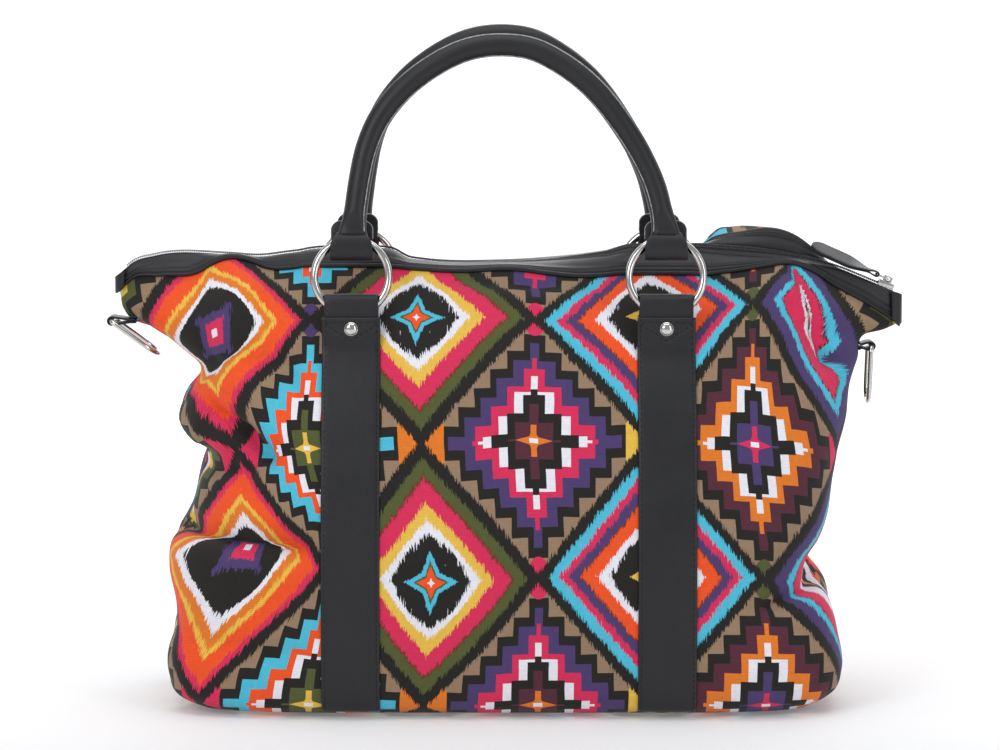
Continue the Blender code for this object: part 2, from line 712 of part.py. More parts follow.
def cylinder_object(name, radius, length, place, collection, axis="X", sides=BORE_SIDES):
    bpy.ops.mesh.primitive_cylinder_add(vertices=sides, radius=radius, depth=length)
    made = bpy.context.object
    turn = Matrix.Rotation(math.pi / 2, 4, "Y" if axis == "X" else "X")
    made.data.transform(turn)
    made.name = name
    made.location = place
    for owner in made.users_collection:
        owner.objects.unlink(made)
    collection.objects.link(made)
    return made


def hide_cutter(cutter):
    cutter.hide_render = True
    cutter.display_type = "WIRE"


def add_boolean(target, cutter, operation):
    step = target.modifiers.new(operation.lower(), "BOOLEAN")
    step.operation = operation
    step.object = cutter
    step.solver = "EXACT"


def add_handles(tops, parts, cutters, leather):
    """Each handle hangs on two rings by the round tunnels of its flat tabs."""
    for side, name, rise in ((-1, "handle_front", HANDLE_RISE),
                             (1, "handle_back", BACK_HANDLE_RISE)):
        pivot = bpy.data.objects.new(name + "_pivot", None)
        parts.objects.link(pivot)
        pivot.location = (0, tops[side].x, tops[side].y)
        pivot.rotation_euler = (side * RING_LEAN, 0, 0)
        handle = add_object(name, handle_mesh(rise), parts, leather, 50)
        handle.parent = pivot
        for end, x in (("left", -STRAP_X), ("right", STRAP_X)):
            eye = cylinder_object(name + "_eye_" + end, TAB_BORE + TAB_WALL, TAB_WIDTH,
                                  (x, 0, 0), cutters)
            bore = cylinder_object(name + "_bore_" + end, TAB_BORE, 1.5 * TAB_WIDTH,
                                   (x, 0, 0), cutters)
            for cutter in (eye, bore):
                cutter.parent = pivot
                hide_cutter(cutter)
            add_boolean(handle, eye, "UNION")
            add_boolean(handle, bore, "DIFFERENCE")


def dome_mesh(name):
    """A domed rivet head: a turned profile that stands on its own flat back."""
    points = [(RIVET_RADIUS * math.sin(a), RIVET_RISE * math.cos(a))
              for a in np.linspace(0, math.pi / 2, 6)]
    points.append((RIVET_RADIUS, -0.0004))
    points.append((0, -0.0004))
    sides = 20
    verts, faces = [], []
    for radius, height in points[1:-1]:
        for k in range(sides):
            angle = 2 * math.pi * k / sides
            verts.append(Vector((radius * math.cos(angle), radius * math.sin(angle), height)))
    rings = len(points) - 2
    verts += [Vector((0, 0, points[0][1])), Vector((0, 0, points[-1][1]))]
    top, base = len(verts) - 2, len(verts) - 1
    for r in range(rings - 1):
        for k in range(sides):
            n = (k + 1) % sides
            faces.append((r * sides + k, r * sides + n, (r + 1) * sides + n, (r + 1) * sides + k))
    for k in range(sides):
        n = (k + 1) % sides
        faces.append((top, k, n))
        faces.append((base, (rings - 1) * sides + k, (rings - 1) * sides + n))
    return mesh_from_faces(name, verts, faces)


def add_rivets(faces, parts, steel):
    """A rivet under each ring, square to the strap's own slope there."""
    height = SEAM_HEIGHT - RIVET_DROP
    for end, x in (("left", -STRAP_X), ("right", STRAP_X)):
        for side, label in ((-1, "front"), (1, "back")):
            run = sorted((p for p in faces[end] if p.x * side > 0), key=lambda p: p.y)
            k = max(i for i, p in enumerate(run) if p.y < height)
            share = (height - run[k].y) / (run[k + 1].y - run[k].y)
            place = run[k].lerp(run[k + 1], share)
            slope = run[k + 1] - run[k]
            normal = Vector((0, side * slope.y, -side * slope.x)).normalized()
            name = "rivet_" + label + "_" + end
            rivet = add_object(name, dome_mesh(name), parts, steel, 40)
            seat = Vector((x, place.x, place.y)) + normal * (2 * GAP)
            rivet.rotation_euler = normal.to_track_quat("Z", "Y").to_euler()
            rivet.location = seat


def box_mesh(name, low, high):
    corners = [Vector((x, y, z)) for x in (low[0], high[0]) for y in (low[1], high[1])
               for z in (low[2], high[2])]
    faces = [(0, 1, 3, 2), (4, 6, 7, 5), (0, 4, 5, 1), (2, 3, 7, 6), (0, 2, 6, 4), (1, 5, 7, 3)]
    return mesh_from_faces(name, corners, faces)


def slider_frame():
    """Where the slider stands on the straight stretch of the ridge, and the slope there."""
    place = Vector((SLIDER_X, 0, ridge_height(SLIDER_X)))
    slope = math.atan(STRAIGHT_FALL / HALF_ZIP)
    return place, slope


def add_slider(coil_high, parts, cutters, steel):
    """The slider rides over the coil, and its bridge holds the pull's link."""
    place, slope = slider_frame()
    low = GAP + TAPE_THICKNESS + GAP
    roof = coil_high + GAP
    channel = COIL_WIDTH + GAP
    top = roof + SLIDER_PLATE
    half = SLIDER_LENGTH / 2
    slider = add_object("zip_slider", box_mesh("zip_slider", (-half, -SLIDER_WIDTH / 2, low),
                                               (half, SLIDER_WIDTH / 2, top)), parts, steel)
    tools = []
    groove = bpy.data.objects.new("slider_groove", box_mesh("slider_groove",
                                                            (-2 * half, -channel, -roof),
                                                            (2 * half, channel, roof)))
    tools.append((groove, "DIFFERENCE"))
    bridge_half = BRIDGE_LENGTH / 2
    bridge = bpy.data.objects.new("slider_bridge", box_mesh(
        "slider_bridge", (-bridge_half, -0.0014, top - SLIDER_PLATE / 2),
        (bridge_half, 0.0014, top + BRIDGE_HEIGHT)))
    tools.append((bridge, "UNION"))
    eye_height = top + BRIDGE_HEIGHT * 0.45
    eye = cylinder_object("slider_eye", LINK_WIRE + 2 * RUN_CLEARANCE, 0.006,
                          (0, 0, eye_height), cutters, axis="Y", sides=12)
    tools.append((eye, "DIFFERENCE"))
    for tool, operation in tools:
        if tool.name not in cutters.objects:
            cutters.objects.link(tool)
        hide_cutter(tool)
        tool.parent = slider
        add_boolean(slider, tool, operation)
    slider.location = place
    slider.rotation_euler = (0, slope, 0)
    turn = Matrix.Rotation(slope, 3, "Y")
    return place + turn @ Vector((0, 0, eye_height)), slope


def add_pull(hinge, slope, parts, cutters, steel, leather):
    """A wire link in the slider's eye carries a leather tab that lies back along the zip."""
    pivot = bpy.data.objects.new("zip_pull_pivot", None)
    parts.objects.link(pivot)
    pivot.location = hinge
    pivot.rotation_euler = (0, slope + PULL_TILT, 0)
    half = LINK_WIDTH / 2
    corner = 0.0016
    route = []
    for cx, cy, start in ((-LINK_LENGTH + corner, half - corner, 90),
                          (-LINK_LENGTH + corner, -half + corner, 180),
                          (-corner, -half + corner, 270), (-corner, half - corner, 0)):
        for k in range(4):
            angle = math.radians(start + 30 * k)
            route.append((cx + corner * math.cos(angle), cy + corner * math.sin(angle)))
    curve = bpy.data.curves.new("zip_pull_link", "CURVE")
    curve.dimensions = "3D"
    curve.bevel_depth = LINK_WIRE
    curve.bevel_resolution = 2
    spline = curve.splines.new("POLY")
    spline.points.add(len(route) - 1)
    for point, (x, y) in zip(spline.points, route):
        point.co = (x, y, 0, 1)
    spline.use_cyclic_u = True
    curve.materials.append(steel)
    link = bpy.data.objects.new("zip_pull_link", curve)
    parts.objects.link(link)
    link.parent = pivot
    link.location = (0, 0, 0)

    near = -LINK_LENGTH + 0.0045
    tab = add_object("zip_pull_tab", pull_tab_mesh(near), parts, leather, 40)
    tab.parent = pivot
    slot_half = LINK_WIRE + RUN_CLEARANCE
    slot = bpy.data.objects.new("pull_slot", box_mesh(
        "pull_slot", (-LINK_LENGTH - slot_half, -half - slot_half, -slot_half),
        (near + 0.002, half + slot_half, slot_half)))
    cutters.objects.link(slot)
    slot.parent = pivot
    hide_cutter(slot)
    add_boolean(tab, slot, "DIFFERENCE")


def pull_tab_mesh(near):
    """The tab's flat outline, square at the link and round at its far end."""
    far = near - PULL_LENGTH
    half = PULL_WIDTH / 2
    neck = half * 0.62
    outline = [(near, -neck), (near, neck), (near - 0.006, half)]
    for k in range(13):
        angle = math.radians(90 + 15 * k)
        outline.append((far + half + half * math.cos(angle), half * math.sin(angle)))
    outline.append((near - 0.006, -half))
    thick = PULL_THICKNESS / 2
    points = [Vector((x, y, -thick)) for x, y in outline]
    points += [Vector((x, y, thick)) for x, y in outline]
    size = len(outline)
    faces = [tuple(range(size)), tuple(range(size, 2 * size))]
    for k in range(size):
        n = (k + 1) % size
        faces.append((k, n, size + n, size + k))
    return mesh_from_faces("zip_pull_tab", points, faces)


def seam_reach(height, left, grids):
    """How far the body reaches to one end at a height, over the width of the loop there."""
    wide = D_TAB_WIDTH / 2 + 4 * GAP
    heights, reaches = [], []
    for front, back in zip(grids[-1], grids[1]):
        near = [p for p in front + back if abs(p.y) < wide and (p.x < 0) == left]
        heights.append(front[0 if left else -1].z)
        reaches.append(max(abs(p.x) for p in near))
    return float(np.interp(height, heights, reaches))


def add_end_rings(grids, parts, cutters, steel, leather):
    """A ring at each end hangs by its straight bar in a leather loop sewn to the end seam."""
    bore = D_WIRE + RUN_CLEARANCE
    wall = bore + D_TAB_WALL
    places = {}
    for end, drop, stalk, swing in (("left", D_DROP_LEFT, D_STALK_LEFT, D_SWING_LEFT),
                                    ("right", D_DROP_RIGHT, D_STALK_RIGHT, D_SWING_RIGHT)):
        left = end == "left"
        away = -1 if left else 1
        height = RIDGE_HEIGHT - drop
        reach = max(seam_reach(height + wall * k / 3, left, grids) for k in range(-3, 4))
        hinge = Vector((away * (reach + GAP + wall + stalk), 0, height))
        places[end] = hinge
        add_d_ring("d_ring_" + end, hinge, swing, parts, steel)
        outline = []
        for k in range(9):
            angle = math.radians(90 - 22.5 * k)
            outline.append((hinge.x + away * wall * math.cos(angle), height + wall * math.sin(angle)))
        root = [height + wall * (k / 2 - 1) for k in range(5)]
        outline += [(away * (seam_reach(z, left, grids) + D_TAB_GAP), z) for z in root]
        name = "d_ring_tab_" + end
        half = D_TAB_WIDTH / 2
        points = [Vector((x, y, z)) for y in (-half, half) for x, z in outline]
        size = len(outline)
        faces = [tuple(range(size)), tuple(range(size, 2 * size))]
        for k in range(size):
            n = (k + 1) % size
            faces.append((k, n, size + n, size + k))
        tab = add_object(name, mesh_from_faces(name, points, faces), parts, leather, 40)
        hole = cylinder_object(name + "_bore", bore, 2 * D_TAB_WIDTH, hinge, cutters,
                               axis="Y", sides=16)
        hide_cutter(hole)
        add_boolean(tab, hole, "DIFFERENCE")
    return places


def add_d_ring(name, hinge, swing, parts, steel):
    """A bent wire: a straight bar on the hinge, two legs and a half round."""
    radius = D_WIDTH / 2
    corner = 0.004
    straight = D_LENGTH - radius
    route = []
    for k in range(5):
        angle = math.radians(90 - 22.5 * k)
        route.append((radius - corner + corner * math.cos(angle), -corner + corner * math.sin(angle)))
    for k in range(17):
        angle = math.radians(-180 * k / 16)
        route.append((radius * math.cos(angle), -straight + radius * math.sin(angle)))
    for k in range(5):
        angle = math.radians(180 - 22.5 * k)
        route.append((-radius + corner + corner * math.cos(angle), -corner + corner * math.sin(angle)))
    curve = bpy.data.curves.new(name, "CURVE")
    curve.dimensions = "3D"
    curve.bevel_depth = D_WIRE
    curve.bevel_resolution = 2
    spline = curve.splines.new("POLY")
    spline.points.add(len(route) - 1)
    for point, (y, z) in zip(spline.points, route):
        point.co = (0, y, z, 1)
    spline.use_cyclic_u = True
    curve.materials.append(steel)
    ring = bpy.data.objects.new(name, curve)
    parts.objects.link(ring)
    ring.location = hinge
    ring.rotation_euler = (0, -swing, 0)


def main():
    for old in list(bpy.data.objects):
        bpy.data.objects.remove(old, do_unlink=True)
    parts = bpy.data.collections.new("zipped_holdall")
    cutters = bpy.data.collections.new("cutters")
    for made in (parts, cutters):
        bpy.context.scene.collection.children.link(made)

    canvas = material("printed_canvas", (0.30, 0.20, 0.13), 0.85)
    leather = material("black_leather", BLACK_LEATHER, 0.42)
    tape = material("zip_tape", (0.020, 0.020, 0.022), 0.80)
    coil = material("nylon_coil", (0.030, 0.030, 0.032), 0.38)
    steel = material("polished_steel", STEEL, 0.18, 1.0)

    grids = folded_grids()
    add_object("canvas_body", body_mesh(grids), parts, canvas, 60)
    add_bindings(grids, parts, leather)
    add_zip_ends(grids, parts, leather)
    coil_high = add_zip_rows(grids, parts, tape, coil)
    hinges, faces = add_straps(grids, parts, leather)
    tops = add_rings(hinges, parts, steel)
    add_handles(tops, parts, cutters, leather)
    add_rivets(faces, parts, steel)
    hinge, slope = add_slider(coil_high, parts, cutters, steel)
    add_pull(hinge, slope, parts, cutters, steel, leather)
    ends = add_end_rings(grids, parts, cutters, steel, leather)
    print("ring hinges", hinges)
    print("handle hinges", tops[-1], tops[1])
    print("pull hinge", hinge, "slope", math.degrees(slope))
    print("end rings", ends)


main()
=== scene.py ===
# %% [markdown]
# # A printed canvas holdall
#
# This lesson dresses a plain CAD bag. The CAD model fixes every size, and the steps below give it
# the look of the real thing: ribbed cotton canvas with a printed ikat pattern, satin faux leather,
# rows of stitches, a nylon zip and bright nickel fittings.
#
# Everything is in metres. The bag stands on z = 0, its front faces -Y and its zip runs along X.

# %% Load the frame
import math

import bmesh
import bpy
import numpy as np
from mathutils import Matrix, Vector


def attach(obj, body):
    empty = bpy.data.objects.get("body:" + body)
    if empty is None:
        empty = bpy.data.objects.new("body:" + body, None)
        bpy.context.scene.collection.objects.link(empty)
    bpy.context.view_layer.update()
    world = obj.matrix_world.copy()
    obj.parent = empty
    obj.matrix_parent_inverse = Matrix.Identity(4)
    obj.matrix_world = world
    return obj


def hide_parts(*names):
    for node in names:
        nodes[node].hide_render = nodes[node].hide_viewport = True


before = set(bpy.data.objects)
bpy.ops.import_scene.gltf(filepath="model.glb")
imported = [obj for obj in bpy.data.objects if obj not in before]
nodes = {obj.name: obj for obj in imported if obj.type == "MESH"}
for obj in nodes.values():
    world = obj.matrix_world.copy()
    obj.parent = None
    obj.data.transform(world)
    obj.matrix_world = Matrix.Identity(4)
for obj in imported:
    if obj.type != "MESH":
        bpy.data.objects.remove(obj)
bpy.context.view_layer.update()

# %% [markdown]
# ## The camera
#
# The photograph was taken from a little above the bag, with a long lens. The front of the bag is
# 2.5 m from the camera, and one pixel of the 1000-pixel-wide picture covers 0.7 mm there. A short
# lens would fit the bag in too, but only a long one keeps the straps as parallel as in the photo.

# %% Camera at the photograph's angle
IMAGE_WIDTH = 1000
CAMERA_RISE = math.radians(5.5)
CAMERA_DISTANCE = 2.5
FRONT_PLANE = -0.105
METRES_PER_PIXEL = 0.00070
AIM = Vector((-0.0063, FRONT_PLANE, 0.2447))

camera_data = bpy.data.cameras.new("camera")
camera = bpy.data.objects.new("camera", camera_data)
bpy.context.scene.collection.objects.link(camera)
way_back = Vector((0, -math.cos(CAMERA_RISE), math.sin(CAMERA_RISE)))
camera.location = AIM + way_back * CAMERA_DISTANCE
camera.rotation_euler = (-way_back).to_track_quat("-Z", "Y").to_euler()
camera_data.sensor_width = 36
camera_data.lens = CAMERA_DISTANCE / (IMAGE_WIDTH * METRES_PER_PIXEL) * camera_data.sensor_width
bpy.context.scene.camera = camera
print("lens", round(camera_data.lens, 1), "mm")

# %% [markdown]
# ## Studio
#
# The bag was photographed on white paper that curves up behind it. A plane and a separate wall
# would show the line where they meet, so the floor here is one sheet with a bend in it. The paper
# glows a little, and more towards the back, because a backdrop is lit on its own.

# %% Floor and backdrop
FLOOR_WHITE = (0.80, 0.80, 0.80)


def plain_material(name, color, roughness, metallic=0.0):
    made = bpy.data.materials.new(name)
    made.use_nodes = True
    shader = made.node_tree.nodes["Principled BSDF"]
    shader.inputs["Base Color"].default_value = (*color, 1)
    shader.inputs["Roughness"].default_value = roughness
    shader.inputs["Metallic"].default_value = metallic
    return made


def add_floor():
    """A floor that curves up into the backdrop, wide enough for every view."""
    profile = [(-6, 0), (3, 0)]
    profile += [(3 + 1.5 * math.sin(a), 1.5 - 1.5 * math.cos(a)) for a in np.linspace(0.1, 1.57, 14)]
    profile += [(4.5, 6)]
    mesh = bpy.data.meshes.new("floor")
    points = [(x, y, z - 0.0005) for y, z in profile for x in (-8, 8)]
    faces = [(2 * k, 2 * k + 1, 2 * k + 3, 2 * k + 2) for k in range(len(profile) - 1)]
    mesh.from_pydata(points, [], faces)
    mesh.shade_smooth()
    made = bpy.data.objects.new("floor", mesh)
    bpy.context.scene.collection.objects.link(made)
    mesh.materials.append(floor_material())


def floor_material():
    """White paper that glows more and more towards the back, as a lit backdrop does."""
    paper = plain_material("floor_white", FLOOR_WHITE, 0.9)
    tree = paper.node_tree
    place = tree.nodes.new("ShaderNodeTexCoord")
    apart = tree.nodes.new("ShaderNodeSeparateXYZ")
    painted_light_and_tone = tree.nodes.new("ShaderNodeMapRange")
    for socket, value in zip(("From Min", "From Max", "To Min", "To Max"), (-0.2, 1.7, 0.12, 0.62)):
        painted_light_and_tone.inputs[socket].default_value = value
    tree.links.new(place.outputs["Object"], apart.inputs[0])
    tree.links.new(apart.outputs[1], painted_light_and_tone.inputs["Value"])
    shader = tree.nodes["Principled BSDF"]
    shader.inputs["Emission Color"].default_value = (1, 1, 1, 1)
    tree.links.new(painted_light_and_tone.outputs[0], shader.inputs["Emission Strength"])
    return paper


add_floor()
print("floor ready")

# %% [markdown]
# ### Lamps
#
# Large soft lamps suit leather and cloth: a broad one overhead, a key at the upper left, a narrow
# upright one at the right, whose long reflection runs down the rings, and a rim light behind. A
# picture of a studio could light the bag as well, but four lamps are easier to change.

# %% Lamps and world
def add_lamp(name, place, target, size, power):
    data = bpy.data.lights.new(name, "AREA")
    data.shape = "RECTANGLE"
    data.size, data.size_y = size
    data.energy = power
    lamp = bpy.data.objects.new(name, data)
    bpy.context.scene.collection.objects.link(lamp)
    lamp.location = place
    lamp.rotation_euler = (Vector(target) - Vector(place)).to_track_quat("-Z", "Y").to_euler()


def set_world(light, strength, seen):
    """Even light from all round. The camera itself sees a plain white there."""
    world = bpy.data.worlds.new("studio")
    bpy.context.scene.world = world
    world.use_nodes = True
    tree = world.node_tree
    tree.nodes.clear()
    out = tree.nodes.new("ShaderNodeOutputWorld")
    path = tree.nodes.new("ShaderNodeLightPath")
    mix = tree.nodes.new("ShaderNodeMixShader")
    for color, power, slot in ((light, strength, 1), (seen, 1.0, 2)):
        glow = tree.nodes.new("ShaderNodeBackground")
        glow.inputs["Color"].default_value = (*color, 1)
        glow.inputs["Strength"].default_value = power
        tree.links.new(glow.outputs[0], mix.inputs[slot])
    tree.links.new(path.outputs["Is Camera Ray"], mix.inputs[0])
    tree.links.new(mix.outputs[0], out.inputs[0])


add_lamp("overhead", (0, -0.3, 2.4), (0, 0, 0.2), (2.4, 2.0), 26)
add_lamp("key", (-1.5, -2.2, 1.5), (0, 0, 0.2), (1.2, 1.2), 24)
add_lamp("fill", (1.9, -1.9, 0.9), (0, 0, 0.2), (0.5, 1.8), 13)
add_lamp("rim", (0.4, 2.2, 1.6), (0, 0, 0.3), (2.2, 0.8), 14)
set_world((0.9, 0.93, 1.0), 0.42, (0.92, 0.92, 0.92))
bpy.context.scene.view_settings.view_transform = "Standard"
print("lamps", len(bpy.data.lights))

# %% [markdown]
# ## The shape of the body
#
# The sizes are those of the CAD body, and so are most of the curves. Where the photograph shows
# fuller ends and a leaning zip, the curves here follow the photograph. The body is a grid of rows
# from the base to the zip. Each row runs from the left end seam, across both straps, to the right
# end seam. A sculpted mesh could look as good, but a grid can be measured and changed.

# %% Sizes that the CAD model uses
BODY_WIDTH = 0.490
BODY_DEPTH = 0.220
ZIP_LENGTH = 0.566
RIDGE_HEIGHT = 0.3158
RIDGE_HALF = 0.0055
LEATHER = 0.0022
GAP = 0.0004
STRAP_WIDTH = 0.040
STRAP_X = 0.2234 / 2
STRAP_HALF = STRAP_WIDTH / 2
STRAP_EDGE = STRAP_X + STRAP_HALF
STRAP_RELIEF = 0.020
BASE_HEIGHT = LEATHER + GAP
HALF_ZIP = ZIP_LENGTH / 2

END_COLUMNS = 56
MIDDLE_COLUMNS = 46
ROW_COUNT = 128
ROOF_ROWS = 8

print("zip", ZIP_LENGTH, "m long on a body", BODY_WIDTH, "m wide")

# %% [markdown]
# ### Smooth curves through a few points
#
# A stuffed bag has no straight edges. Each of its lines is a short table of places and values,
# with a smooth curve through them. A spline object could do the same, but a plain function can be
# asked for its value anywhere while the mesh is built.

# %% Curve helpers
def smooth_line(points):
    """A smooth function through given (position, value) points."""
    places = np.array([p[0] for p in points])
    values = np.array([p[1] for p in points])
    slopes = np.gradient(values, places)

    def value(place):
        place = min(max(place, places[0]), places[-1])
        k = min(int(np.searchsorted(places, place, side="right")) - 1, len(places) - 2)
        step = places[k + 1] - places[k]
        t = (place - places[k]) / step
        rise = values[k + 1] - values[k]
        a = slopes[k] * step - rise
        b = rise - slopes[k + 1] * step
        return float(values[k] + t * rise + t * (1 - t) * (a * (1 - t) + b * t))

    return value


def smooth_step(low, high, value):
    t = min(max((value - low) / (high - low), 0.0), 1.0)
    return t * t * (3 - 2 * t)


print("curve at its middle", smooth_line([(0, 0), (0.5, 1), (1, 0)])(0.5))

# %% [markdown]
# ### The tables
#
# The first six say how deep, how square and how wide the bag is at each share of its height, left
# and right apart, because its ends have slumped differently. The last one follows the zip from end
# to end, in metres above or below its middle.

# %% Shape tables
DEPTH_SHARE = smooth_line([(0, 0.84), (0.012, 0.91), (0.035, 0.955), (0.08, 0.985), (0.18, 1.0),
                           (0.32, 1.0), (0.48, 0.965), (0.62, 0.90), (0.74, 0.80), (0.84, 0.67),
                           (0.92, 0.56), (1, 0.48)])
SQUARENESS = smooth_line([(0, 6.0), (0.15, 5.2), (0.4, 3.8), (0.7, 2.9), (0.9, 2.3), (1, 2.0)])
SAG_LEFT = smooth_line([(0, -0.020), (0.025, -0.006), (0.07, 0.001), (0.16, 0.003), (0.24, 0.001),
                        (0.33, 0.0065), (0.39, 0.0080), (0.45, -0.0020), (0.54, -0.0092),
                        (0.61, -0.0122), (0.67, 0.0010), (0.715, -0.006), (0.77, -0.024),
                        (0.845, -0.013), (0.90, -0.003), (1, 0)])
FLARE_LEFT = smooth_line([(0, 0), (0.75, 0), (0.845, 0.34), (0.90, 0.74), (0.96, 0.96), (1, 1)])
SAG_RIGHT = smooth_line([(0, -0.026), (0.035, -0.010), (0.085, -0.004), (0.17, -0.007),
                         (0.25, -0.011), (0.325, -0.023), (0.39, -0.0143), (0.475, -0.0042),
                         (0.58, -0.0005), (0.69, 0.0035), (0.78, 0), (1, 0)])
FLARE_RIGHT = smooth_line([(0, 0), (0.77, 0.05), (0.85, 0.26), (0.915, 0.36), (0.955, 0.70),
                           (1, 1)])
RIDGE_RISE = smooth_line([(-1, -0.0095), (-0.97, -0.001), (-0.91, 0.0046), (-0.72, 0.0056),
                          (-0.64, 0.0042), (-0.56, 0.0068), (-0.46, 0.0096), (-0.33, 0.0084),
                          (-0.27, 0.0034), (-0.21, 0.0009), (-0.02, 0), (0.143, 0.003),
                          (0.285, 0.0078), (0.335, 0.0098), (0.48, 0.0104), (0.60, 0.0085),
                          (0.68, 0.0063), (0.775, 0.0016), (0.83, -0.0028), (0.86, -0.0056)])
print("end reach at mid height", round(BODY_WIDTH / 2 + SAG_LEFT(0.5), 4))

# %% [markdown]
# ### The line of the zip
#
# Over its right half the zip leans to the front, which is why its teeth show there. The lean is a
# table of slopes, so the tapes and the canvas both follow it. The other tables give the height of
# the two upper edges of the canvas and how far they stand from the middle.

# %% Lean of the zip and height of the edges
# How far the zip leans to the front, as rise over depth
RIDGE_LEAN = smooth_line([(-1, 0), (0.02, 0), (0.14, 0.10), (0.30, 0.42), (0.48, 0.60), (0.64, 0.60),
                          (0.74, 0.34), (0.82, 0.06), (0.86, 0), (1, 0)])
STRAIGHT_FROM = 0.86
STRAIGHT_FALL = 0.118
FRONT_EDGE_RISE = smooth_line([(-1, -0.020), (-0.965, -0.0105), (-0.89, -0.0078), (-0.79, -0.0050),
                               (-0.755, 0.0008), (-0.71, 0.0048), (-0.665, 0.0026), (-0.625, -0.0020),
                               (-0.50, -0.0006), (-0.30, -0.0015), (-0.12, -0.0040), (0.02, -0.0030),
                               (0.10, -0.0060), (0.17, -0.0080), (0.31, -0.0062), (0.50, -0.0066),
                               (0.655, -0.0018), (0.725, 0.0002), (0.775, -0.0050), (0.83, -0.0148),
                               (0.91, -0.0270), (1, -0.043)])
BACK_EDGE_RISE = smooth_line([(-1, -0.020), (-0.94, -0.0105), (-0.7, -0.0035), (-0.456, -0.0020),
                              (0, -0.0040), (0.33, -0.0030), (0.45, 0.0050), (0.52, 0.0135),
                              (0.60, 0.0190), (0.68, 0.0225), (0.73, 0.0185), (0.79, 0.0065),
                              (0.86, -0.0130), (0.92, -0.0270), (1, -0.043)])
EDGE_HALF_DEPTH = smooth_line([(-1, 0.012), (-0.785, 0.017), (-0.68, 0.015), (-0.456, 0.021),
                               (-0.2, 0.025), (0, 0.027), (0.33, 0.021), (0.585, 0.016),
                               (0.715, 0.014), (0.92, 0.013), (1, 0.011)])
print("steepest lean", max(RIDGE_LEAN(x) for x in np.linspace(-1, 1, 41)))

# %% [markdown]
# ### Folds
#
# A fold is a soft ridge or valley along a line: side (-1 front, 1 back), start and end as shares
# of half the width and of the height, half width and height in metres. The first list is the CAD
# model's own. The second adds the finer creases of the cloth. A cloth simulation makes folds too,
# but it puts them where it likes, and these have to lie where the photographed ones do.

# %% Folds of the canvas
FOLDS = [
    (-1, (-0.55, 0.385), (-1.00, 0.420), 0.010, -0.0085),
    (-1, (-0.60, 0.310), (-0.92, 0.330), 0.026, 0.0060),
    (-1, (-0.58, 0.470), (-0.80, 0.500), 0.022, 0.0050),
    (-1, (-0.86, 0.690), (-0.70, 0.590), 0.009, -0.0070),
    (-1, (-0.78, 0.760), (-0.66, 0.640), 0.016, 0.0065),
    (-1, (-0.98, 0.610), (-0.84, 0.615), 0.013, 0.0080),
    (-1, (-0.95, 0.560), (-0.76, 0.545), 0.008, -0.0070),
    (-1, (-0.78, 0.930), (-0.78, 0.860), 0.026, 0.0070),
    (-1, (-0.60, 0.130), (-1.02, 0.190), 0.012, -0.0035),
    (-1, (0.83, 0.900), (0.94, 0.790), 0.008, -0.0080),
    (-1, (0.80, 0.980), (0.86, 0.900), 0.018, 0.0060),
    (-1, (0.86, 0.700), (0.90, 0.560), 0.016, 0.0045),
    (-1, (0.90, 0.300), (0.74, 0.250), 0.009, -0.0065),
    (-1, (0.72, 0.380), (0.86, 0.420), 0.022, 0.0040),
    (-1, (0.66, 0.120), (0.88, 0.150), 0.028, 0.0040),
    (1, (0.655, 1.000), (0.785, 0.990), 0.0165, 0.0400),
    (1, (-0.60, 0.330), (-0.95, 0.360), 0.010, -0.0065),
    (1, (-0.62, 0.700), (-0.86, 0.640), 0.010, -0.0060),
    (1, (0.62, 0.640), (0.90, 0.560), 0.010, -0.0060),
    (1, (0.66, 0.270), (0.92, 0.240), 0.024, 0.0050),
    (1, (-0.70, 0.520), (-0.88, 0.500), 0.026, 0.0050),
]
CREASES = [
    (-1, (-0.57, 0.395), (-0.80, 0.398), 0.0045, -0.0040),
    (-1, (-0.80, 0.398), (-1.00, 0.430), 0.0040, -0.0045),
    (-1, (-0.56, 0.425), (-0.72, 0.450), 0.0060, 0.0016),
    (-1, (-0.56, 0.330), (-0.66, 0.270), 0.0070, -0.0016),
    (-1, (-0.88, 0.700), (-0.76, 0.640), 0.0042, -0.0045),
    (-1, (-0.76, 0.640), (-0.69, 0.585), 0.0042, -0.0040),
    (-1, (-0.98, 0.585), (-0.80, 0.580), 0.0038, -0.0040),
    (-1, (-0.90, 0.640), (-0.78, 0.610), 0.0050, 0.0026),
    (-1, (-0.66, 0.800), (-0.60, 0.700), 0.0060, -0.0020),
    (-1, (-0.90, 0.860), (-0.84, 0.780), 0.0060, -0.0022),
    (-1, (-0.86, 0.480), (-0.74, 0.520), 0.0060, -0.0020),
    (-1, (-0.60, 0.150), (-0.84, 0.170), 0.0055, -0.0018),
    (-1, (-0.70, 0.060), (-0.90, 0.090), 0.0080, -0.0014),
    (-1, (0.833, 0.985), (0.953, 0.790), 0.0042, -0.0056),
    (-1, (0.90, 0.960), (1.00, 0.850), 0.0110, 0.0030),
    (-1, (0.88, 0.870), (0.97, 0.840), 0.0048, -0.0030),
    (-1, (0.92, 0.300), (0.76, 0.255), 0.0042, -0.0034),
    (-1, (0.62, 0.250), (0.74, 0.200), 0.0070, -0.0014),
    (-1, (0.64, 0.480), (0.72, 0.420), 0.0080, -0.0012),
    (-1, (-0.30, 0.330), (-0.36, 0.300), 0.0080, -0.0012),
    (-1, (-0.36, 0.420), (-0.28, 0.385), 0.0100, 0.0010),
    (-1, (-0.216, 0.973), (0.100, 0.960), 0.0034, -0.0046),
    (-1, (0.100, 0.960), (0.270, 0.955), 0.0034, -0.0036),
    (-1, (-0.200, 0.935), (0.240, 0.925), 0.0080, 0.0014),
    (1, (-0.60, 0.340), (-0.90, 0.362), 0.0050, -0.0030),
    (1, (0.64, 0.630), (0.86, 0.570), 0.0050, -0.0026),
]


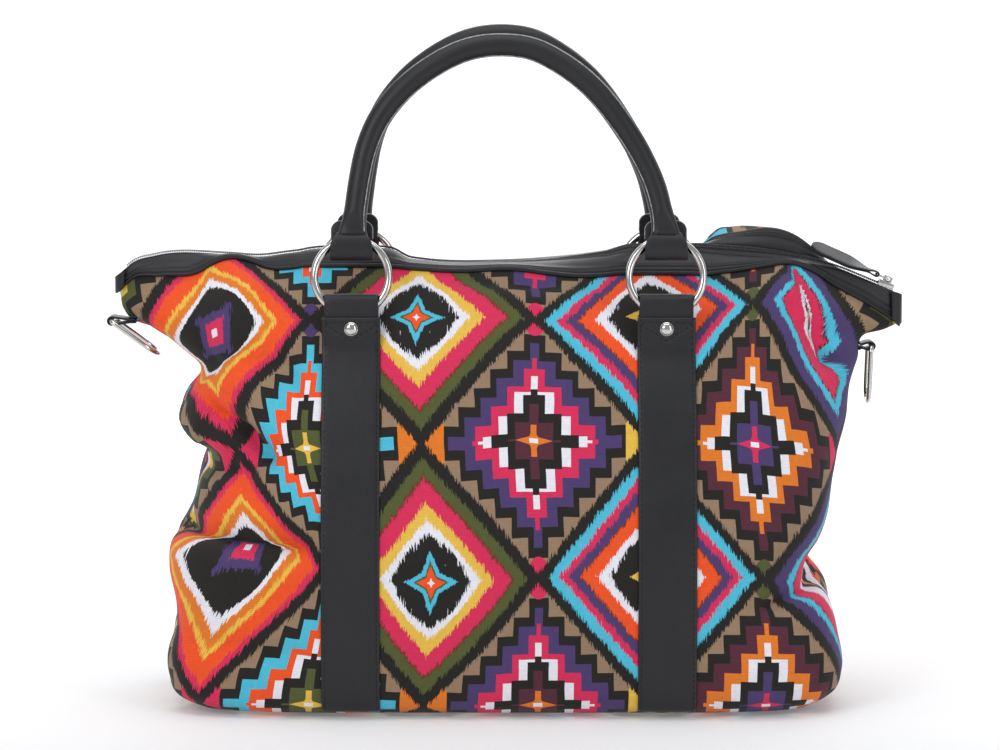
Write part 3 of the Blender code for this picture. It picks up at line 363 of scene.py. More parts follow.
def fold_height(x, z, side):
    total = 0.0
    for fold_side, start, end, width, height in FOLDS + CREASES:
        if fold_side != side:
            continue
        ax, az = start[0] * BODY_WIDTH / 2, start[1] * RIDGE_HEIGHT
        bx, bz = end[0] * BODY_WIDTH / 2, end[1] * RIDGE_HEIGHT
        run = (bx - ax) ** 2 + (bz - az) ** 2
        t = min(max(((x - ax) * (bx - ax) + (z - az) * (bz - az)) / run, 0), 1)
        away = math.hypot(x - ax - (bx - ax) * t, z - az - (bz - az) * t) / width
        if away < 3:
            total += height * math.exp(-away * away)
    ripple = 0.0012 * math.sin(x * 61 + side) * math.sin(z * 47 + 2 * side + x * 23)
    return (total + ripple) * strap_mask(x)


print("folds", len(FOLDS), "creases", len(CREASES))

# %% [markdown]
# ### Lines that the canvas follows
#
# These functions give the height of the zip, the height of each upper edge and the distance of the
# canvas from the middle. Under a strap x counts as the strap's middle, so the canvas lies flat there.

# %% Places and heights
def strap_place(x):
    """The canvas lies flat across each strap, so x there counts as the strap's middle."""
    middle = math.copysign(STRAP_X, x)
    off = x - middle
    if abs(off) <= STRAP_HALF:
        return middle
    if abs(off) >= STRAP_HALF + STRAP_RELIEF:
        return x
    return middle + (off - math.copysign(STRAP_HALF, off)) * (STRAP_HALF / STRAP_RELIEF + 1)


def strap_mask(x):
    """0 under the straps, where nothing folds, and 1 away from them."""
    return smooth_step(STRAP_HALF, STRAP_HALF + STRAP_RELIEF, abs(abs(x) - STRAP_X))


def ridge_height(x):
    share = strap_place(x) / HALF_ZIP
    if share > STRAIGHT_FROM:
        return RIDGE_HEIGHT + RIDGE_RISE(STRAIGHT_FROM) - STRAIGHT_FALL * (share - STRAIGHT_FROM)
    return RIDGE_HEIGHT + RIDGE_RISE(share)


def lean(x):
    return RIDGE_LEAN(strap_place(x) / HALF_ZIP)


def edge_height(x, side):
    rise = FRONT_EDGE_RISE if side < 0 else BACK_EDGE_RISE
    return RIDGE_HEIGHT + rise(strap_place(x) / HALF_ZIP)


def tip_taper(x, power):
    return math.sqrt(max(1 - min(abs(x) / HALF_ZIP, 1) ** power, 0))


def end_reach(v, left):
    """Half width of the body at height share v, to the left or right end."""
    sag, flare = (SAG_LEFT, FLARE_LEFT) if left else (SAG_RIGHT, FLARE_RIGHT)
    return BODY_WIDTH / 2 + sag(v) + flare(v) * (ZIP_LENGTH - BODY_WIDTH) / 2


def half_depth(x, v):
    """Distance of the canvas from the plane y = 0 before it folds."""
    x = strap_place(x)
    reach = end_reach(v, x < 0)
    power = SQUARENESS(v)
    full = BODY_DEPTH / 2 * DEPTH_SHARE(v)
    bulge = full * max(1 - min(abs(x) / reach, 1) ** power, 0) ** (1 / power)
    edge = EDGE_HALF_DEPTH(x / HALF_ZIP) * tip_taper(x, 10)
    blend = max((v - 0.8) / 0.2, 0) ** 3
    return bulge * (1 - blend) + edge * blend


print("ridge at the middle", round(ridge_height(0.0), 4))

# %% [markdown]
# ### The grid of the canvas
#
# Each row starts and ends at an end seam. The columns are evenly spaced along the cloth, not along
# X, so that the faces stay square where the canvas turns away.

# %% Rows and columns
def end_columns(v, left):
    """(x, depth) from the strap's outer edge to the end seam, evenly spaced along the canvas."""
    reach = end_reach(v, left)
    sign = -1 if left else 1
    fine = []
    for k in range(121):
        x = STRAP_EDGE + (reach - STRAP_EDGE) * math.sin(k / 120 * math.pi / 2)
        fine.append((x, half_depth(sign * min(x, reach * 0.999999), v)))
    fine[-1] = (reach, 0.0)
    fine = np.array(fine)
    run = np.concatenate([[0], np.cumsum(np.hypot(*np.diff(fine, axis=0).T))])
    wanted = np.linspace(0, run[-1], END_COLUMNS + 1)
    return [(sign * x, y) for x, y in zip(np.interp(wanted, run, fine[:, 0]),
                                          np.interp(wanted, run, fine[:, 1]))]


def columns(v):
    """(x, depth) of every column from the left seam to the right seam."""
    inner = STRAP_X - STRAP_HALF
    middle = [-STRAP_X] + list(np.linspace(-inner, inner, MIDDLE_COLUMNS + 1)) + [STRAP_X]
    return (end_columns(v, True)[::-1] + [(float(x), half_depth(float(x), v)) for x in middle]
            + end_columns(v, False))


ROW_SHARES = list(np.linspace(0, 0.078, 15)) + list(np.linspace(0.078, 1, ROW_COUNT - 14))[1:]
ROOF_SHARES = [(k + 1) / ROOF_ROWS for k in range(ROOF_ROWS)]


def canvas_grid(side):
    """Rows of points from the base to the zip, each from the left seam to the right seam."""
    rows = []
    for v in ROW_SHARES:
        row = []
        for x, depth in columns(v):
            z = BASE_HEIGHT + v * (edge_height(x, side) - BASE_HEIGHT)
            row.append(Vector((x, side * depth, z)))
        rows.append(row)
    edge = rows[-1]
    for share in ROOF_SHARES:
        row = []
        for p in edge:
            half = RIDGE_HALF * tip_taper(p.x, 60)
            crown = 0.0015 * math.sin(share * math.pi) * tip_taper(p.x, 20)
            y = abs(p.y) + (half - abs(p.y)) * share
            top = ridge_height(p.x) + side * half * lean(p.x)
            row.append(Vector((p.x, side * y, p.z + (top - p.z) * share + crown)))
        rows.append(row)
    return rows


print("rows", len(ROW_SHARES) + ROOF_ROWS)

# %% [markdown]
# ### Folding the panels
#
# A fold pushes each point along the direction that faces away from the canvas. The end seams, the
# base and the zip stay where they are, because they are sewn or rest on the ground.

# %% Folded panels
def outward_normals(rows, side):
    """Directions away from the canvas, kept off the zip tape along the last row."""
    normals = []
    for r, row in enumerate(rows):
        line = []
        for c in range(len(row)):
            across = row[min(c + 1, len(row) - 1)] - row[max(c - 1, 0)]
            up = rows[min(r + 1, len(rows) - 1)][c] - rows[max(r - 1, 0)][c]
            way = (across.cross(up) * -side).normalized()
            if r == len(rows) - 1:
                way = Vector((way.x, side * max(way.y * side, 0), way.z)).normalized()
            line.append(way)
        normals.append(line)
    return normals


def folded(rows, normals, side):
    """The panel with its folds. The end seams, the base and the zip stay where they are."""
    moved = []
    for r, row in enumerate(rows):
        v = ROW_SHARES[r] if r < ROW_COUNT else 1.0
        hold = 1.0 if r < ROW_COUNT else 1 - ROOF_SHARES[r - ROW_COUNT]
        hold *= smooth_step(0.0, 0.06, v) * (1 - 0.75 * smooth_step(0.93, 1.0, v))
        line = []
        for c, p in enumerate(row):
            if c in (0, len(row) - 1):
                line.append(p.copy())
                continue
            height = fold_height(p.x, p.z, side) * hold * smooth_step(0, 0.030, abs(p.y))
            line.append(p + normals[r][c] * height)
        moved.append(line)
    return moved


plain_rows = {side: canvas_grid(side) for side in (-1, 1)}
panel_rows = {side: folded(plain_rows[side], outward_normals(plain_rows[side], side), side)
              for side in (-1, 1)}
panel_normals = {side: outward_normals(panel_rows[side], side) for side in (-1, 1)}
print("panels of", len(panel_rows[-1]), "rows by", len(panel_rows[-1][0]), "columns")

# %% [markdown]
# ## Shader helpers
#
# A print made of rules is mostly arithmetic. `Wire` wraps a shader value so that the arithmetic
# reads like ordinary Python: every +, * or < makes one Math node.

# %% Arithmetic on shader values
class Wire:
    """A value in a shader tree that can be added, multiplied and compared like a number."""

    def __init__(self, tree, socket):
        self.tree = tree
        self.socket = socket

    def math(self, kind, *others):
        node = self.tree.nodes.new("ShaderNodeMath")
        node.operation = kind
        for place, value in zip(node.inputs, (self,) + others):
            if isinstance(value, Wire):
                self.tree.links.new(value.socket, place)
            else:
                place.default_value = value
        return Wire(self.tree, node.outputs[0])

    def __add__(self, other):
        return self.math("ADD", other)

    def __sub__(self, other):
        return self.math("SUBTRACT", other)

    def __mul__(self, other):
        return self.math("MULTIPLY", other)

    def __lt__(self, other):
        return self.math("LESS_THAN", other)

    def __gt__(self, other):
        return self.math("GREATER_THAN", other)

    def __abs__(self):
        return self.math("ABSOLUTE")

    def __or__(self, other):
        return self.math("MAXIMUM", other)

    def __and__(self, other):
        return self.math("MINIMUM", other)

    def clamped(self):
        node_wire = self.math("ADD", 0.0)
        node_wire.socket.node.use_clamp = True
        return node_wire


print("wires can", [n for n in vars(Wire) if n in ("math", "clamped")])

# %% [markdown]
# ### Small tools for shader trees
#
# These make a group, take a vector apart, put one together, add a noise and cut a value into flat
# bands of colour.

# %% Shader tools
def new_group(name, inputs, outputs):
    """An empty shader group: (tree, its input values by name, its output sockets by name)."""
    tree = bpy.data.node_groups.new(name, "ShaderNodeTree")
    for label, kind in inputs:
        tree.interface.new_socket(label, in_out="INPUT", socket_type=kind)
    for label, kind in outputs:
        tree.interface.new_socket(label, in_out="OUTPUT", socket_type=kind)
    source = tree.nodes.new("NodeGroupInput")
    target = tree.nodes.new("NodeGroupOutput")
    return tree, source.outputs, target.inputs


def split(tree, vector):
    node = tree.nodes.new("ShaderNodeSeparateXYZ")
    tree.links.new(vector, node.inputs[0])
    return [Wire(tree, out) for out in node.outputs]


def joined(tree, x, y, z=None):
    node = tree.nodes.new("ShaderNodeCombineXYZ")
    for wire, place in zip((x, y, z), node.inputs):
        if wire is not None:
            tree.links.new(wire.socket, place)
    return node.outputs[0]


def noise(tree, vector, scale, detail=2.0, roughness=0.5):
    node = tree.nodes.new("ShaderNodeTexNoise")
    node.inputs["Scale"].default_value = scale
    node.inputs["Detail"].default_value = detail
    node.inputs["Roughness"].default_value = roughness
    tree.links.new(vector, node.inputs["Vector"])
    return Wire(tree, node.outputs["Fac"])


def bands(tree, value, stops):
    """Flat colours by value: stops are (from, colour), and value runs from 0 to 1."""
    node = tree.nodes.new("ShaderNodeValToRGB")
    ramp = node.color_ramp
    ramp.interpolation = "CONSTANT"
    while len(ramp.elements) < len(stops):
        ramp.elements.new(1.0)
    for element, (place, color) in zip(ramp.elements, stops):
        element.position = place
        element.color = (*color, 1)
    tree.links.new(value.socket, node.inputs[0])
    return node.outputs[0]


def layered(tree, base, mask, color):
    """color laid over base where mask is 1."""
    node = tree.nodes.new("ShaderNodeMix")
    node.data_type = "RGBA"
    tree.links.new(mask.socket, node.inputs[0])
    for value, place in ((base, node.inputs[6]), (color, node.inputs[7])):
        if isinstance(value, tuple):
            place.default_value = (*value, 1)
        else:
            tree.links.new(value, place)
    return node.outputs[2]


print("shader tools ready")

# %% [markdown]
# ## The print
#
# The cloth carries two motifs on one lattice, both common in woven and printed textiles:
# lozenges with feathered edges, as ikat dyeing makes them, and stepped diamonds, as weaving
# makes them. The lozenges touch at their corners, and the stepped diamonds fill the gaps.
#
# - A lozenge is a sum of two distances, |x| + |y|. Bands of that sum are its rings.
# - The feathers are a noise stretched along the warp, added to the sum before it is cut in bands.
# - A stepped diamond is the same sum with x rounded up to whole steps.
#
# Each motif has four colourings that follow one another along the cloth.

# %% Inks, lattice and ring tables
def ink(red, green, blue):
    """A colour as it is mixed on a screen, turned into the linear light that shaders use."""
    return tuple(((c / 255 + 0.055) / 1.055) ** 2.4 for c in (red, green, blue))


TAN = ink(150, 124, 99)
BLACK = ink(34, 32, 29)
WHITE = ink(232, 231, 238)
TURQUOISE = ink(78, 188, 214)
VERMILION = ink(240, 84, 34)
ORANGE = ink(226, 122, 38)
YELLOW = ink(232, 188, 74)
CRIMSON = ink(216, 46, 88)
PURPLE = ink(76, 60, 108)
OLIVE = ink(84, 90, 48)
PLUM = ink(86, 42, 56)
RUST = ink(112, 52, 30)

MOTIF_PIXELS = (232.0, 266.0)
LATTICE = (MOTIF_PIXELS[0] * METRES_PER_PIXEL, MOTIF_PIXELS[1] * METRES_PER_PIXEL)
FIRST_LOZENGE = (-0.0616, 0.107)
RING_SCALE = 1.2

LOZENGE_RINGS = [
    [(0, WHITE), (0.030, CRIMSON), (0.096, PURPLE), (0.168, BLACK), (0.40, WHITE), (0.50, ORANGE),
     (0.60, YELLOW), (0.655, VERMILION), (0.83, CRIMSON), (0.90, BLACK)],
    [(0, WHITE), (0.035, VERMILION), (0.125, OLIVE), (0.155, TURQUOISE), (0.235, BLACK),
     (0.36, WHITE), (0.45, YELLOW), (0.58, CRIMSON), (0.75, RUST), (0.775, OLIVE), (0.90, BLACK)],
    [(0, YELLOW), (0.05, PLUM), (0.10, YELLOW), (0.20, BLACK), (0.36, WHITE), (0.47, VERMILION),
     (0.62, RUST), (0.64, PURPLE), (0.73, CRIMSON), (0.81, TURQUOISE), (0.915, BLACK)],
    [(0, WHITE), (0.05, ORANGE), (0.11, PLUM), (0.17, BLACK), (0.25, WHITE), (0.37, CRIMSON),
     (0.62, PLUM), (0.645, TURQUOISE), (0.74, PURPLE), (0.90, BLACK)],
]
SIDE_FANS = [CRIMSON, ORANGE, YELLOW, CRIMSON]
END_FANS = [PURPLE, CRIMSON, OLIVE, ORANGE]
# Each stepped diamond: outer ring, second ring, square, cross
STEP_INKS = [(TURQUOISE, VERMILION, OLIVE, YELLOW), (PURPLE, CRIMSON, PLUM, ORANGE),
             (PLUM, ORANGE, PURPLE, CRIMSON), (OLIVE, YELLOW, CRIMSON, TURQUOISE)]

print("lattice", [round(step, 4) for step in LATTICE], "m")

# %% [markdown]
# ### The stepped diamond
#
# Woven diamonds have stairs for edges, because they are built thread by thread. Each stair is the
# same width, so the across distance is rounded up to whole steps before it is added to the height.
# Bars and boxes laid over that make the inner figures. Its sizes are pixels of the photograph.

# %% The stepped diamond
STEP_REACH = 113.6
STEP_START = 10.4
STEP_WIDTH = 16.8
STEP_RISE = 19.4


def inside(x, y, wide, high):
    """1 in a box of that half width and half height round the motif's middle."""
    return (x < wide) & (y < high)


def stepped_level(x, y):
    """How deep a point is in a stepped diamond: 0 outside, then one level for each colour."""
    def steps(across, up):
        stairs = ((across - STEP_START) * (1 / STEP_WIDTH)).math("CEIL").math("MAXIMUM", 0.0)
        return up + stairs * STEP_RISE

    levels = [
        steps(x, y) < STEP_REACH,
        steps(x + 6.0, y + 10.0) < STEP_REACH,
        (steps(x, y) < 75.0) | inside(x, y, 2.2, 87.0) | inside(x, y, 64.0, 2.4),
        inside(x, y, 20.0, 50.0) | inside(x, y, 36.5, 25.5) | inside(x, y, 53.0, 5.5)
        | inside(x, y, 3.4, 67.0) | inside(x, y, 58.0, 1.4),
        inside(x, y, 11.0, 47.0) | inside(x, y, 27.5, 28.0) | inside(x, y, 44.5, 6.6)
        | inside(x, y, 3.4, 53.0),
        inside(x, y, 19.5, 18.6) | inside(x, y, 4.6, 38.0) | inside(x, y, 27.0, 1.1),
        inside(x, y, 3.0, 16.5) | ((x * (1 / 19) + y * (1 / 5.5)) < 1.0)
        | ((x * (1 / 6) + y * (1 / 15)) < 1.0),
        inside(x, y, 4.6, 2.4),
    ]
    total = levels[0] * 1.0
    for k, mask in enumerate(levels[1:]):
        total = total | (mask * float(k + 2))
    return total


print("stepped diamond", 2 * STEP_REACH, "pixels high")

# %% [markdown]
# ### The whole print
#
# An image of the cloth would be quicker, but it would hold one place, one size and one light. Rules
# stay sharp at any distance. The group gives the colour and the height of the ribs, and the ribs
# are the thick weft threads that run across the cloth. The colour also carries painted shade: it is
# darker between the ribs.

# %% The print as a shader group
RIB_PITCH = 0.00098
WARP_PITCH = 0.00062


def build_print_group():
    tree, source, target = new_group("ikat print", [("Cloth", "NodeSocketVector")],
                                     [("Color", "NodeSocketColor"), ("Rib", "NodeSocketFloat")])
    u, v, _ = split(tree, source["Cloth"])
    wander = 0.0022
    u = u + (noise(tree, source["Cloth"], 14, 3) - 0.5) * wander * 2.0
    v = v + (noise(tree, joined(tree, v, u), 16, 3) - 0.5) * wander * 2.0
    p = (u - FIRST_LOZENGE[0]) * (1 / LATTICE[0])
    q = (v - FIRST_LOZENGE[1]) * (1 / LATTICE[1])

    lozenge_column = (p + 0.5).math("FLOOR")
    fp = abs(p - lozenge_column)
    fq = abs(q - (q + 0.5).math("FLOOR"))
    step_column = p.math("FLOOR")
    sx = abs(p - step_column - 0.5) * MOTIF_PIXELS[0]
    sy = abs(q - q.math("FLOOR") - 0.5) * MOTIF_PIXELS[1]

    a, b = fp * 2.0, fq * 2.0
    total = a + b
    small = a & b
    column_mod = (lozenge_column + 1.0).math("FLOORED_MODULO", 4.0)
    # The first colouring has a square at its heart, the others have a star
    first = column_mod < 0.5
    star = ((total * -1.0 + 0.33 + first * 0.14) * 8.0).clamped()
    core = (abs(total - 0.40) * -8.0 + 1.0).clamped()
    feather = noise(tree, joined(tree, u * 1350.0, v * 95.0), 1.0, 1.5, 0.6) - 0.5
    coarse = noise(tree, joined(tree, u * 420.0, v * 60.0), 1.0, 2.0) - 0.5
    reach = (total * 3.0).math("MINIMUM", 1.0)
    fringe = (feather * 0.15 + coarse * 0.05) * reach
    ring = total + small * star * (first * -2.05 + 1.1) - small * core * 0.35 + fringe
    ring_share = ring * (1 / RING_SCALE)

    step_mod = (step_column + 1.0).math("FLOORED_MODULO", 4.0)
    level = stepped_level(sx, sy) * (1 / 9)

    def chosen(index, colors):
        """One of four colours or ramps, by the colouring's number."""
        color = colors[0]
        for k in range(1, 4):
            color = layered(tree, color, abs(index - float(k)) < 0.5, colors[k])
        return color

    side_fan = chosen(column_mod, SIDE_FANS)
    end_fan = chosen(step_mod, END_FANS)
    diamonds = [bands(tree, level, [(0, TAN), (0.09, BLACK), (0.2, inks[0]), (0.31, inks[1]),
                                    (0.42, WHITE), (0.53, BLACK), (0.64, inks[2]),
                                    (0.75, inks[3]), (0.86, WHITE)]) for inks in STEP_INKS]
    lozenges = [bands(tree, ring_share, [(place / RING_SCALE, color) for place, color in stops])
                for stops in LOZENGE_RINGS]

    color = chosen(step_mod, diamonds)
    fan_x, fan_y = fp * MOTIF_PIXELS[0], (fq * -1.0 + 0.5) * MOTIF_PIXELS[1]
    round_off = (fan_x * (1 / 30) & 1.0) * (fan_y * (1 / 23))
    side_mask = inside(fan_x, fan_y, 23.5, 21.0) & (round_off < 0.62)
    color = layered(tree, color, side_mask, side_fan)
    tip_x, tip_y = (fp * -1.0 + 0.5) * MOTIF_PIXELS[0], fq * MOTIF_PIXELS[1]
    tip_mask = ((tip_x * tip_x) * (1 / 140) + (tip_y * tip_y) * (1 / 430)) < 1.0
    color = layered(tree, color, tip_mask, end_fan)
    color = layered(tree, color, ring < 1.035, chosen(column_mod, lozenges))

    rib = (v * (2 * math.pi / RIB_PITCH)).math("SINE") * 0.5 + 0.5
    warp = (u * (2 * math.pi / WARP_PITCH)).math("SINE") * 0.5 + 0.5
    weave = rib * 0.75 + warp * rib * 0.25
    # Random tone of the cloth, plus painted shade: the colour is darker between the ribs.
    painted_light_and_tone = noise(tree, source["Cloth"], 260, 3) * 0.22 + weave * 0.17 + 0.78
    shade = tree.nodes.new("ShaderNodeMix")
    shade.data_type = "RGBA"
    shade.blend_type = "MULTIPLY"
    shade.inputs[0].default_value = 1.0
    tree.links.new(color, shade.inputs[6])
    tree.links.new(painted_light_and_tone.socket, shade.inputs[7])
    tree.links.new(shade.outputs[2], target["Color"])
    tree.links.new(weave.socket, target["Rib"])
    return tree


print_group = build_print_group()
print("print group has", len(print_group.nodes), "nodes")

# %% [markdown]
# ### The canvas material
#
# Printed cotton is matt, with a faint sheen of fibres at its edges. The print gives the colour, with
# painted shade between the ribs. The ribs could be real geometry, but at 0.16 mm a bump is enough.

# %% Canvas material
def material_with(name):
    made = plain_material(name, (0.5, 0.5, 0.5), 0.5)
    tree = made.node_tree
    return made, tree, tree.nodes["Principled BSDF"]


def grouped(tree, group, place):
    node = tree.nodes.new("ShaderNodeGroup")
    node.node_tree = group
    node.location = place
    return node


def bumped(tree, shader, height, distance, strength=1.0, before=None):
    node = tree.nodes.new("ShaderNodeBump")
    node.inputs["Distance"].default_value = distance
    node.inputs["Strength"].default_value = strength
    tree.links.new(height, node.inputs["Height"])
    if before is not None:
        tree.links.new(before, node.inputs["Normal"])
    tree.links.new(node.outputs[0], shader.inputs["Normal"])
    return node.outputs[0]


def canvas_material():
    made, tree, shader = material_with("printed canvas")
    cloth = tree.nodes.new("ShaderNodeUVMap")
    cloth.uv_map = "cloth"
    printed = grouped(tree, print_group, (-400, 0))
    tree.links.new(cloth.outputs[0], printed.inputs["Cloth"])
    tree.links.new(printed.outputs["Color"], shader.inputs["Base Color"])
    shader.inputs["Roughness"].default_value = 0.86
    shader.inputs["Specular IOR Level"].default_value = 0.25
    shader.inputs["Sheen Weight"].default_value = 0.08
    shader.inputs["Sheen Roughness"].default_value = 0.5
    bumped(tree, shader, printed.outputs["Rib"], 0.00016, 0.8)
    return made


canvas = canvas_material()
print("canvas material ready")

# %% [markdown]
# ## The canvas body
#
# The two panels share the end seams and close under the base and along the ridge. The UV map is
# the cloth itself, measured in metres along the threads, so the print keeps its true size round
# the ends. It is measured before the cloth folds, so each fold carries the print with it.

# %% Mesh of the body with its cloth map
def cloth_places(rows, side):
    """(across, up) along the cloth in metres for every point of a panel."""
    count = len(rows[0])
    middle = count // 2
    places = []
    up = [0.0] * count
    for r, row in enumerate(rows):
        across = [0.0] * count
        for c in range(middle + 1, count):
            across[c] = across[c - 1] + (row[c] - row[c - 1]).length
        for c in range(middle - 1, -1, -1):
            across[c] = across[c + 1] - (row[c + 1] - row[c]).length
        if r:
            up = [height + (p - q).length for height, p, q in zip(up, row, rows[r - 1])]
        places.append([(-side * a, h) for a, h in zip(across, up)])
    return places


def smoothed(places):
    """Heights along the cloth, evened out sideways so that the threads run smoothly."""
    even = []
    for line in places:
        heights = [h for _, h in line]
        wide = 5
        mean = [sum(heights[max(c - wide, 0):c + wide + 1])
                / len(heights[max(c - wide, 0):c + wide + 1]) for c in range(len(heights))]
        even.append([(a, m) for (a, _), m in zip(line, mean)])
    return even


print("cloth map helpers ready")

# %% [markdown]
# ### Where the print has moved
#
# Cloth creeps as it is sewn and stuffed, so the motifs aren't on a perfect lattice. A few soft
# shifts follow that. A deep fold does more: it swallows a strip of cloth, and the motif breaks off at
# the fold and goes on somewhere else. A tuck is a line with the cloth that is lost beside it.

# %% Creep and tucks
# Where the sewn cloth has crept: x, height, reach, then how far the print shifts there
CREEP = [(-0.186, 0.117, 0.062, -0.0300, -0.0150), (-0.205, 0.268, 0.050, -0.0106, 0.0),
         (-0.054, 0.098, 0.070, -0.0063, 0.0042), (-0.065, 0.280, 0.050, 0.0042, -0.0030),
         (0.020, 0.197, 0.080, 0.0020, -0.0030), (0.228, 0.281, 0.045, 0.0190, -0.0085),
         (0.174, 0.192, 0.060, 0.0056, 0.0020), (0.176, 0.290, 0.077, 0.0, -0.0150),
         (0.232, 0.240, 0.045, 0.0160, 0.0), (-0.140, 0.195, 0.035, 0.0095, 0.0040),
         (-0.192, 0.178, 0.040, -0.0130, 0.0030), (-0.183, 0.113, 0.045, -0.0060, 0.0),
         (-0.176, 0.198, 0.026, -0.0090, 0.0)]
# Folds that swallow cloth: a line, the cloth that is lost on the left of it, and its reach
TUCKS = [((0.196, 0.330), (0.2336, 0.242), (0.046, 0.026), 0.200),
         ((-0.184, 0.262), (-0.230, 0.222), (0.0, -0.0120), 0.036),
         ((-0.250, 0.1330), (-0.150, 0.1225), (0.0, 0.0130), 0.045),
         ((-0.150, 0.1225), (-0.250, 0.1330), (0.0, -0.0080), 0.045)]


def swallowed(x, z):
    """How far the print jumps at (x, z) because of the tucks beside it."""
    shift, lift = 0.0, 0.0
    for start, end, lost, reach in TUCKS:
        way = Vector((end[0] - start[0], end[1] - start[1]))
        length = way.length
        way.normalize()
        along = way.x * (x - start[0]) + way.y * (z - start[1])
        left = way.x * (z - start[1]) - way.y * (x - start[0])
        share = smooth_step(-0.002, 0.002, left) * math.exp(-(max(left, 0.0) / reach) ** 2)
        share *= smooth_step(-0.012, 0.012, along) * smooth_step(-0.012, 0.012, length - along)
        shift += lost[0] * share
        lift += lost[1] * share
    return shift, lift


def crept(places, rows):
    """The front panel's map with the small shifts of the cloth in it."""
    moved = []
    for line, row in zip(places, rows):
        fresh = []
        for (across, up), p in zip(line, row):
            for x, z, reach, shift, lift in CREEP:
                near = math.exp(-((p.x - x) ** 2 + (p.z - z) ** 2) / reach ** 2)
                across += shift * near
                up += lift * near
            shift, lift = swallowed(p.x, p.z)
            fresh.append((across + shift, up + lift))
        moved.append(fresh)
    return moved


print("creeps", len(CREEP), "tucks", len(TUCKS))

# %% [markdown]
# ### Making a piece
#
# Every piece ends the same way: it gets its material, joins the scene, and is told which body of the
# frame it moves with.

# %% A helper for finished pieces
def make_object(name, mesh, body, finish):
    """A finished piece: its mesh in place, one material, and the body it rides on."""
    mesh.materials.clear()
    mesh.materials.append(finish)
    made = bpy.data.objects.new(name, mesh)
    bpy.context.scene.collection.objects.link(made)
    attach(made, body)
    return made


# %% [markdown]
# ### The shell itself
#
# The front and back rows are joined into rings, one above another, and the map is stored face by
# face, because the end seam has a different place on the cloth on each of its sides.

# %% The canvas body
def body_mesh():
    front, back = panel_rows[-1], panel_rows[1]
    count = len(front[0])
    size = 2 * count - 2
    points, faces, maps = [], [], []
    cloth = {side: smoothed(cloth_places(plain_rows[side], side)) for side in (-1, 1)}
    cloth[-1] = crept(cloth[-1], plain_rows[-1])
    for f_row, b_row in zip(front, back):
        points += f_row + b_row[-2:0:-1]
    for r in range(len(front) - 1):
        for k in range(size):
            n = (k + 1) % size
            faces.append((r * size + k, r * size + n, (r + 1) * size + n, (r + 1) * size + k))
            side = -1 if k < count - 1 else 1
            here, there = (k, k + 1) if side < 0 else (size - k, size - k - 1)
            maps.append([cloth[side][r][here], cloth[side][r][there],
                         cloth[side][r + 1][there], cloth[side][r + 1][here]])
    for r in (0, len(front) - 1):
        for k in range(count - 1):
            quad = [r * size + k, r * size + k + 1, r * size + (size - k - 1) % size,
                    r * size + (size - k) % size]
            if r:
                face = tuple(dict.fromkeys(quad))
            else:
                face = tuple(dict.fromkeys(quad[::-1]))
            faces.append(face)
            maps.append([(points[p].x, points[p].y) for p in face])
    mesh = bpy.data.meshes.new("canvas")
    mesh.from_pydata([tuple(p) for p in points], [], faces)
    layer = mesh.uv_layers.new(name="cloth")
    for polygon, uvs in zip(mesh.polygons, maps):
        for loop, uv in zip(polygon.loop_indices, uvs):
            layer.data[loop].uv = uv
    mesh.shade_smooth()
    return mesh


canvas_piece = make_object("printed_body", body_mesh(), "bag", canvas)
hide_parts("canvas_body")
print("body", len(canvas_piece.data.polygons), "faces")

# %% [markdown]
# ## Leather, thread and metal
#
# The trim is satin faux leather. One shader group gives every leather piece the same embossed
# grain: small cells with creases between them, and a slow change of tone where hands have rubbed
# it. The low parts of the larger folds are also painted a little darker, which is painted shade.
# The bump is built from heights in millimetres, so it looks right from near and far.

# %% The grain group
def build_grain_group():
    tree, source, target = new_group("leather grain", [("Place", "NodeSocketVector")],
                                     [("Height", "NodeSocketFloat"), ("Wear and crease shade", "NodeSocketFloat"),
                                      ("Gloss", "NodeSocketFloat")])
    cells = tree.nodes.new("ShaderNodeTexVoronoi")
    cells.feature = "SMOOTH_F1"
    cells.inputs["Scale"].default_value = 1150
    cells.inputs["Smoothness"].default_value = 0.35
    tree.links.new(source["Place"], cells.inputs["Vector"])
    pores = noise(tree, source["Place"], 2600, 2)
    folds = noise(tree, source["Place"], 160, 4, 0.6)
    wear = noise(tree, source["Place"], 26, 3)
    grain = Wire(tree, cells.outputs["Distance"]) * -0.6 + pores * 0.25 + folds * 0.5
    tree.links.new(grain.socket, target["Height"])
    # Tone: random wear, plus painted shade that darkens the low parts of the folds.
    tree.links.new((wear * 0.5 + folds * 0.3 + 0.6).socket, target["Wear and crease shade"])
    tree.links.new((wear * 0.14 + folds * 0.10 + 0.32).socket, target["Gloss"])
    return tree


grain_group = build_grain_group()
print("grain group has", len(grain_group.nodes), "nodes")

# %% [markdown]
# ### Leather from the grain
#
# The colour is nearly black with a little blue. The grain's tone makes it uneven, with random wear
# and painted shade in the low parts of the folds, and the grain's gloss keeps the highlights soft
# and broken, as on coated leather.

# %% Leather material
def leather_material(name, color, grain_depth):
    made, tree, shader = material_with(name)
    place = tree.nodes.new("ShaderNodeTexCoord")
    grain = grouped(tree, grain_group, (-400, 0))
    tree.links.new(place.outputs["Object"], grain.inputs["Place"])
    tone = tree.nodes.new("ShaderNodeMix")
    tone.data_type = "RGBA"
    tone.blend_type = "MULTIPLY"
    tone.inputs[0].default_value = 1.0
    tone.inputs[6].default_value = (*color, 1)
    tree.links.new(grain.outputs["Wear and crease shade"], tone.inputs[7])
    tree.links.new(tone.outputs[2], shader.inputs["Base Color"])
    tree.links.new(grain.outputs["Gloss"], shader.inputs["Roughness"])
    shader.inputs["Specular IOR Level"].default_value = 0.40
    bumped(tree, shader, grain.outputs["Height"], grain_depth, 0.7)
    return made


leather = leather_material("black leather", (0.0110, 0.0110, 0.0130), 0.00022)
print("leather ready")
